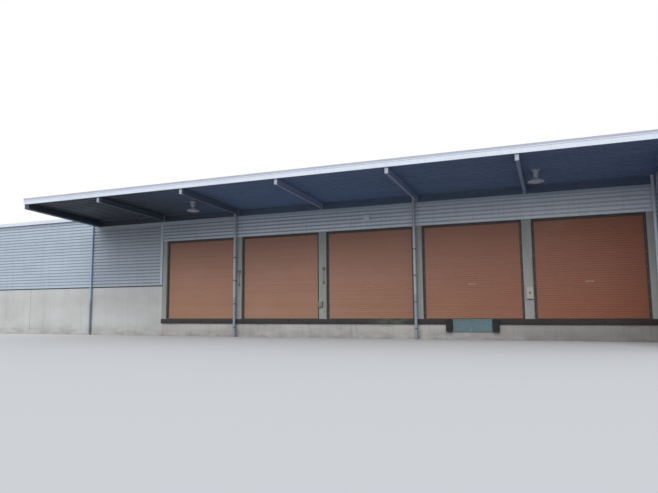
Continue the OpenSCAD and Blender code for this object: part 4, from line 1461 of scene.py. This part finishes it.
@dataclass
class Rainwater:
    """Brackets of the gutters, collars and outlets of the downpipes.

    Attributes:
        bracket_pitch: Distance between two gutter brackets.
        bracket_w: Width of a bracket.
        bracket_t: Thickness of a bracket.
        bracket_hook: How far a bracket reaches over the lip of its gutter.
        end_gap: Distance of the outer brackets from the ends of the gutter.
        collar_h: Height of a pipe collar.
        collar_out: How far a collar stands out from the pipe.
        collar_stations: Heights of the collars over the foot of the walls.
        outlet_h: Height of an outlet.
        flare_h: Height of its flared upper part.
        flare: How much wider that part is at its top.
        dock_pipe_r: Radius of the pipes under the canopy.
        eaves_pipe_r: Radius of the pipes under the gutters.
        beam_gap: Gap between a pipe and the wall beam.
        column_in: Distance of a pipe's middle from the left side of its column.
        flank_gap: Gap between the last pipe and the side wall.
        corner_gap: Gap between the corner pipe and the corner.
        gutter_out: Distance of a pipe's middle from the back of its gutter.
        rear_in: Distance of the rear pipes from the ends of the building.
    """

    bracket_pitch: float = 0.9
    bracket_w: float = 0.03
    bracket_t: float = 0.004
    bracket_hook: float = 0.016
    end_gap: float = 0.2
    collar_h: float = 0.07
    collar_out: float = 0.006
    collar_stations: tuple[float, ...] = (1.15, 3.45, 5.65)
    outlet_h: float = 0.12
    flare_h: float = 0.08
    flare: float = 1.1
    dock_pipe_r: float = 0.07
    eaves_pipe_r: float = 0.055
    beam_gap: float = 0.01
    column_in: float = 0.09
    flank_gap: float = 0.04
    corner_gap: float = 0.02
    gutter_out: float = 0.065
    rear_in: float = 0.4

    def build(self) -> None:
        """Builds the brackets and the collars."""
        self.bracket_gutter("front_gutter", -1)
        self.bracket_gutter("rear_gutter", 1)
        self.collar_pipes()

    def bracket_gutter(self, node: str, side: int) -> None:
        """Carries a gutter on straps that run under it, up its front and over its lip.

        Args:
            node: Node of the gutter.
            side: -1 for a gutter on the front, 1 for one on the rear.
        """
        low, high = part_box(node)
        outer, inner = (low.y, high.y) if side < 0 else (high.y, low.y)
        half, t = self.bracket_w / 2, self.bracket_t

        def leg(first: float, last: float, bottom: float, top: float) -> Shape:
            """Starts one leg of the bracket between two depths and two heights."""
            near, far = sorted((first, last))
            return Shape.block((-half, near, bottom), (half, far, top))

        front = leg(outer, outer + side * t, low.z - t, high.z + t)
        under = leg(outer + side * t, inner, low.z - t, low.z)
        over = leg(outer + side * t, outer - side * self.bracket_hook, high.z, high.z + t)
        front.join(under, over).bevel(t / 4)
        count = round((high.x - low.x) / self.bracket_pitch)
        front.spread([(x, 0, 0) for x in span(low.x + self.end_gap, high.x - self.end_gap, count)])
        front.done(f"{node}_brackets", WHITE_TRIM, "flashing")

    def collar_pipes(self) -> None:
        """Puts a collar on each length of pipe, and a flared outlet over its top."""
        for number, (x, y, top, radius) in enumerate(self.pipe_stations(), 1):
            outer = radius + self.collar_out
            collar = Shape.rod((x, y, 0), (x, y, self.collar_h), outer, 32).bevel(2 * MM)
            collar.spread([(0, 0, z) for z in self.collar_stations])
            outlet = Shape.rod((x, y, top - self.outlet_h), (x, y, top - self.flare_h), outer, 32)
            outlet.faces(UP).extrude((0, 0, self.flare_h))
            outlet.resize((self.flare, self.flare, 1), (x, y, 0))
            collar.join(outlet).done(f"downpipe_{number}_collars", PIPE_PAINT, "pipe_paint")

    def pipe_stations(self) -> list[tuple[float, float, float, float]]:
        """Finds the downpipes from what carries them.

        Returns:
            Middle, top and radius of each pipe: three under the canopy, one at the corner and two
            behind.
        """
        dock_r, eaves_r = self.dock_pipe_r, self.eaves_pipe_r
        beam_low, beam_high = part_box("canopy_wall_beam")
        rear_low, rear_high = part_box("rear_base")
        front_gutter, rear_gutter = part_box("front_gutter"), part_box("rear_gutter")
        dock = (beam_low.y - self.beam_gap - dock_r, beam_high.z, dock_r)
        front = (front_gutter[1].y - self.gutter_out, front_gutter[0].z, eaves_r)
        rear = (rear_gutter[0].y + self.gutter_out, front_gutter[0].z, eaves_r)
        return [
            (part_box("column_1")[0].x + self.column_in, *dock),
            (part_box("column_3")[0].x + self.column_in, *dock),
            (X_FLANK - self.flank_gap - dock_r, *dock),
            (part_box("base_left_bay")[0].x - self.corner_gap - eaves_r, *front),
            (rear_low.x + self.rear_in, *rear), (rear_high.x - self.rear_in, *rear)]


@dataclass
class Roof:
    """Screws of the roof sheets and of the ridge cap.

    Attributes:
        pitch_deg: Pitch of the roof.
        rib_pitch: Distance between two ribs.
        rib_foot: Width of a rib at its foot.
        purlin_pitch: Distance between two purlins, along the slope.
        eaves_gap: Least distance of the screws from the eaves.
        screw_across: Width of a screw's head.
        cap_wing: Distance of the highest screws of a slope from the ridge, past the cap.
        cap_t: Thickness of the ridge cap.
        cap_reach: Distance of the cap's own screws from the ridge.
    """

    pitch_deg: float = 5.0
    rib_pitch: float = 0.5
    rib_foot: float = 0.056
    purlin_pitch: float = 1.25
    eaves_gap: float = 0.2
    screw_across: float = 0.014
    cap_wing: float = 0.45
    cap_t: float = 0.004
    cap_reach: float = 0.24

    def build(self) -> None:
        """Builds the screws of both slopes and of the ridge cap."""
        self.screw_slope("roof_front_slope", -1)
        self.screw_slope("roof_rear_slope", 1)
        self.screw_ridge()

    def rib_stations(self) -> tuple[float, int]:
        """Finds the ribs of the roof sheets.

        Returns:
            X of the first rib, and the number of ribs.
        """
        low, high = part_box("roof_front_slope")
        length = high.x - low.x
        count = int((length - 2 * self.rib_foot) / self.rib_pitch)
        return low.x + (length - count * self.rib_pitch) / 2, count + 1

    def screw_slope(self, node: str, side: int) -> None:
        """Screws one slope to its purlins, through every rib.

        Args:
            node: Node of the slope.
            side: -1 for the front slope, 1 for the rear one.
        """
        low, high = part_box(node)
        angle = math.radians(self.pitch_deg)
        along = Vector((0, side * math.cos(angle), -math.sin(angle)))
        out = Vector((0, side * math.sin(angle), math.cos(angle)))
        first, ribs = self.rib_stations()
        ridge = (first, high.y if side < 0 else low.y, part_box("ridge_cap")[1].z - self.cap_t)
        slope = (high.y - low.y) / math.cos(angle)
        rows = int((slope - self.cap_wing - self.eaves_gap) / self.purlin_pitch) + 1
        screws = bolts(Vector(ridge) + along * self.cap_wing, out, self.screw_across,
                       (ribs, (self.rib_pitch, 0, 0)), (rows, along * self.purlin_pitch))
        screws.done(f"{node}_screws", PLATED_FASTENER, "roof_sheet")

    def screw_ridge(self) -> None:
        """Screws both wings of the ridge cap to the ribs."""
        low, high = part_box("ridge_cap")
        first, ribs = self.rib_stations()
        angle, reach = math.radians(self.pitch_deg), self.cap_reach
        wings = []
        for side in (-1, 1):
            out = Vector((0, side * math.sin(angle), math.cos(angle)))
            at = (first, (low.y + high.y) / 2 + side * reach, high.z - reach * math.tan(angle))
            wings.append(bolts(at, out, self.screw_across, (ribs, (self.rib_pitch, 0, 0))))
        wings[0].join(wings[1]).done("ridge_cap_screws", PLATED_FASTENER, "roof_sheet")


@dataclass
class Fittings:
    """Knobs and buttons of the boxes on the columns, and the glass of the wall light.

    Attributes:
        lid_t: Thickness of a box's lid.
        switch_columns: Columns that carry the switches of the shutters.
        box_edge: Distance of a switch box's middle from the right side of its column.
        buttons: Number of push buttons in the box beside a shutter.
        button: One of them.
        button_z: Height of the lowest over the dock floor.
        button_pitch: Distance between two of them.
        button_box_t: Depth of that box.
        switch: Rotary switch beside a shutter.
        switch_z: Height of that switch over the dock floor.
        switch_box_t: Depth of the box under it.
        panel_column: Column that carries the leveller's box.
        panel_edge: Distance of that box's middle from the right side of its column.
        panel_t: Depth of that box.
        panel_switch: Rotary switch on it.
        panel_switch_z: Height of that switch over the dock floor.
        panel_buttons: Number of push buttons on it.
        panel_button: One of them.
        panel_button_z: Height of those buttons over the dock floor.
        panel_pitch: Distance between two of them.
        glass_edge: Distance of the glass of the wall light from the ends of the light.
        glass_w: Width of that glass.
        glass_t: Its thickness.
        glass_tilt_deg: Its tilt toward the front.
        glass_in: Distance of its middle from the front of the light.
        glass_rise: Height of its middle over the lowest edge of the light.
    """

    lid_t: float = 0.008
    switch_columns: tuple[str, ...] = ("column_1", "column_2")
    box_edge: float = 0.12
    buttons: int = 2
    button: Stud = Stud(0.018, 0.012, 0.004, 0.006)
    button_z: float = 1.76
    button_pitch: float = 0.055
    button_box_t: float = 0.056
    switch: Stud = Stud(0.03, 0.015, 0.012, 0.02, 24)
    switch_z: float = 2.475
    switch_box_t: float = 0.08
    panel_column: str = "column_4"
    panel_edge: float = 0.16
    panel_t: float = 0.11
    panel_switch: Stud = Stud(0.045, 0.02, 0.015, 0.022, 28)
    panel_switch_z: float = 1.12
    panel_buttons: int = 3
    panel_button: Stud = Stud(0.02, 0.012, 0.004, 0.008)
    panel_button_z: float = 0.97
    panel_pitch: float = 0.06
    glass_edge: float = 0.015
    glass_w: float = 0.095
    glass_t: float = 0.012
    glass_tilt_deg: float = -37.6
    glass_in: float = 0.0655
    glass_rise: float = 0.035

    def build(self) -> None:
        """Builds the fittings of the switch boxes, the leveller's box and the wall light."""
        self.fit_boxes()
        self.fit_panel()
        self.glaze_wall_light()

    def fit_boxes(self) -> None:
        """Puts buttons and a rotary switch on the boxes beside the shutters."""
        places = [(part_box(name)[1].x - self.box_edge, 0, 0) for name in self.switch_columns]
        at = (0, FACE_Y - self.button_box_t - self.lid_t, FLOOR_Z + self.button_z)
        button = self.button.model(at).array(self.buttons, (0, 0, self.button_pitch))
        button.spread(places).done("shutter_push_buttons", BUFFER_RUBBER, "bumper_rubber")
        at = (0, FACE_Y - self.switch_box_t - self.lid_t, FLOOR_Z + self.switch_z)
        knob = self.switch.model(at).spread(places)
        knob.done("shutter_switch_knobs", SWITCH_KNOB, "box_paint")

    def fit_panel(self) -> None:
        """Fits the rotary switch and a row of buttons on the leveller's control box."""
        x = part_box(self.panel_column)[1].x - self.panel_edge
        y = FACE_Y - self.panel_t - self.lid_t
        knob = self.panel_switch.model((x, y, FLOOR_Z + self.panel_switch_z))
        knob.done("leveller_switch_knob", SWITCH_KNOB, "box_paint")
        button = self.panel_button.model((x - self.panel_pitch, y, FLOOR_Z + self.panel_button_z))
        button.array(self.panel_buttons, (self.panel_pitch, 0, 0))
        button.done("leveller_push_buttons", PALE_BUTTON, "box_paint")

    def glaze_wall_light(self) -> None:
        """Sets a glass into the underside of the wall light."""
        low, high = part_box("wall_light")
        edge, half, t = self.glass_edge, self.glass_w / 2, self.glass_t / 2
        y, z = low.y + self.glass_in, low.z + self.glass_rise
        glass = Shape.block((low.x + edge, y - half, z - t), (high.x - edge, y + half, z + t))
        glass.faces(DOWN).inset(edge).extrude((0, 0, -t / 2))
        glass.turn(self.glass_tilt_deg, "X", (0, y, z)).bevel(MM)
        glass.done("wall_light_glass", LAMP_GLASS, "lamp_paint")


@dataclass(frozen=True)
class PhotoCamera:
    """The camera at the photograph's viewing angle.

    Attributes:
        place: Where the camera stands.
        focal_px: Focal length in pixels of the photograph.
        width_px: Width of the photograph.
        yaw_deg: Turn to the left of the dock's normal.
        pitch_deg: Tilt upward.
        roll_deg: Turn about the line of sight.
        sensor_mm: Width of the camera's sensor.
        clip_end: Distance up to which the camera sees.
    """

    place: Point = (15.55, -32.06, 1.46)
    focal_px: float = 559.1
    width_px: float = 658.0
    yaw_deg: float = 21.84
    pitch_deg: float = 6.25
    roll_deg: float = 0.46
    sensor_mm: float = 36.0
    clip_end: float = 1000.0

    def build(self) -> None:
        """Makes the camera and puts it into use."""
        data = bpy.data.cameras.new("photo_camera")
        data.sensor_width = self.sensor_mm
        data.lens = self.focal_px / self.width_px * self.sensor_mm
        data.clip_end = self.clip_end
        camera = bpy.data.objects.new("photo_camera", data)
        bpy.context.scene.collection.objects.link(camera)
        upright = math.pi / 2 + math.radians(self.pitch_deg)
        camera.matrix_world = (
            Matrix.Translation(self.place)
            @ Matrix.Rotation(math.radians(self.yaw_deg), 4, "Z")
            @ Matrix.Rotation(upright, 4, "X")
            @ Matrix.Rotation(-math.radians(self.roll_deg), 4, "Z"))
        bpy.context.scene.camera = camera


@dataclass(frozen=True)
class Studio:
    """Plain pale floor and soft light.

    Attributes:
        floor_size: Side of the square floor.
        floor_drop: How far the floor lies under the object.
        floor_seen: Colour of the floor in view.
        floor_bounce: Colour of the floor as it throws light back.
        sky_colour: Colour of the light from all round.
        sky_strength: Strength of that light.
        sun_strength: Strength of the soft lamp.
        sun_elevation_deg: Height of the lamp over the horizon.
        sun_azimuth_deg: Turn of the lamp to the left of the dock's normal.
        sun_size_deg: Width of the lamp as seen from the dock.
    """

    floor_size: float = 600.0
    floor_drop: float = 0.002
    floor_seen: str = "#c4c4c3"
    floor_bounce: str = "#8a8a89"
    sky_colour: str = "#eef3ff"
    sky_strength: float = 0.8
    sun_strength: float = 2.2
    sun_elevation_deg: float = 40.0
    sun_azimuth_deg: float = 5.0
    sun_size_deg: float = 60.0

    def build(self) -> None:
        """Makes the floor, the sky and the lamp."""
        self.make_floor()
        self.make_sky()
        self.make_sun()

    @staticmethod
    def seen_directly(tree: Tree) -> Socket:
        """Tells the view from the light that reaches other surfaces.

        Args:
            tree: Node tree of the floor or the sky.

        Returns:
            Socket that is 1 for a ray from the camera, a mirror or glass.
        """
        path = add_node(tree, "ShaderNodeLightPath")
        some = add_node(tree, "ShaderNodeMath", {"operation": "MAXIMUM"},
                        {0: path.outputs["Is Camera Ray"], 1: path.outputs["Is Glossy Ray"]})
        return add_node(tree, "ShaderNodeMath", {"operation": "MAXIMUM"},
                        {0: some.outputs[0], 1: path.outputs["Is Transmission Ray"]}).outputs[0]

    def make_floor(self) -> None:
        """Makes the floor: pale in view, darker as it throws light back."""
        bpy.ops.mesh.primitive_plane_add(size=self.floor_size, location=(0, 0, -self.floor_drop))
        floor = bpy.context.active_object
        floor.name = "studio_floor"
        material = bpy.data.materials.new("studio_floor")
        material.use_nodes = True
        tree = material.node_tree
        tree.nodes.clear()
        colour = add_node(tree, "ShaderNodeMix", {"data_type": "RGBA"},
                          {MIX_FACTOR: self.seen_directly(tree),
                           MIX_FIRST: linear(self.floor_bounce),
                           MIX_SECOND: linear(self.floor_seen)}).outputs[MIX_RESULT]
        matt = add_node(tree, "ShaderNodeBsdfDiffuse", None, {"Color": colour})
        add_node(tree, "ShaderNodeOutputMaterial", None, {"Surface": matt.outputs[0]})
        floor.data.materials.append(material)

    def make_sky(self) -> None:
        """Makes a white background with a plain soft light."""
        world = bpy.data.worlds.new("studio_sky")
        bpy.context.scene.world = world
        world.use_nodes = True
        tree = world.node_tree
        tree.nodes.clear()
        light = add_node(tree, "ShaderNodeBackground", None,
                         {"Color": linear(self.sky_colour), "Strength": self.sky_strength})
        white = add_node(tree, "ShaderNodeBackground", None,
                         {"Color": (1.0, 1.0, 1.0, 1.0), "Strength": 1.0})
        both = add_node(tree, "ShaderNodeMixShader", None,
                        {0: self.seen_directly(tree), 1: light.outputs[0], 2: white.outputs[0]})
        add_node(tree, "ShaderNodeOutputWorld", None, {"Surface": both.outputs[0]})

    def make_sun(self) -> None:
        """Makes the soft lamp in front of the dock, up to the left."""
        data = bpy.data.lights.new("soft_sun", "SUN")
        data.energy = self.sun_strength
        data.angle = math.radians(self.sun_size_deg)
        lamp = bpy.data.objects.new("soft_sun", data)
        bpy.context.scene.collection.objects.link(lamp)
        lamp.matrix_world = (
            Matrix.Rotation(-math.radians(self.sun_azimuth_deg), 4, "Z")
            @ Matrix.Rotation(math.pi / 2 - math.radians(self.sun_elevation_deg), 4, "X"))


def main() -> None:
    """Builds the scene, sub-assembly by sub-assembly."""
    logging.basicConfig(level=logging.INFO, format="%(name)s: %(message)s")
    bpy.context.scene.view_settings.view_transform = "Standard"
    dress_nodes()
    for assembly in (Walls(), Shutters(), Dock(), Canopy(), Rainwater(), Roof(), Fittings()):
        assembly.build()
    PhotoCamera().build()
    Studio().build()


if __name__ == "__main__":
    main()
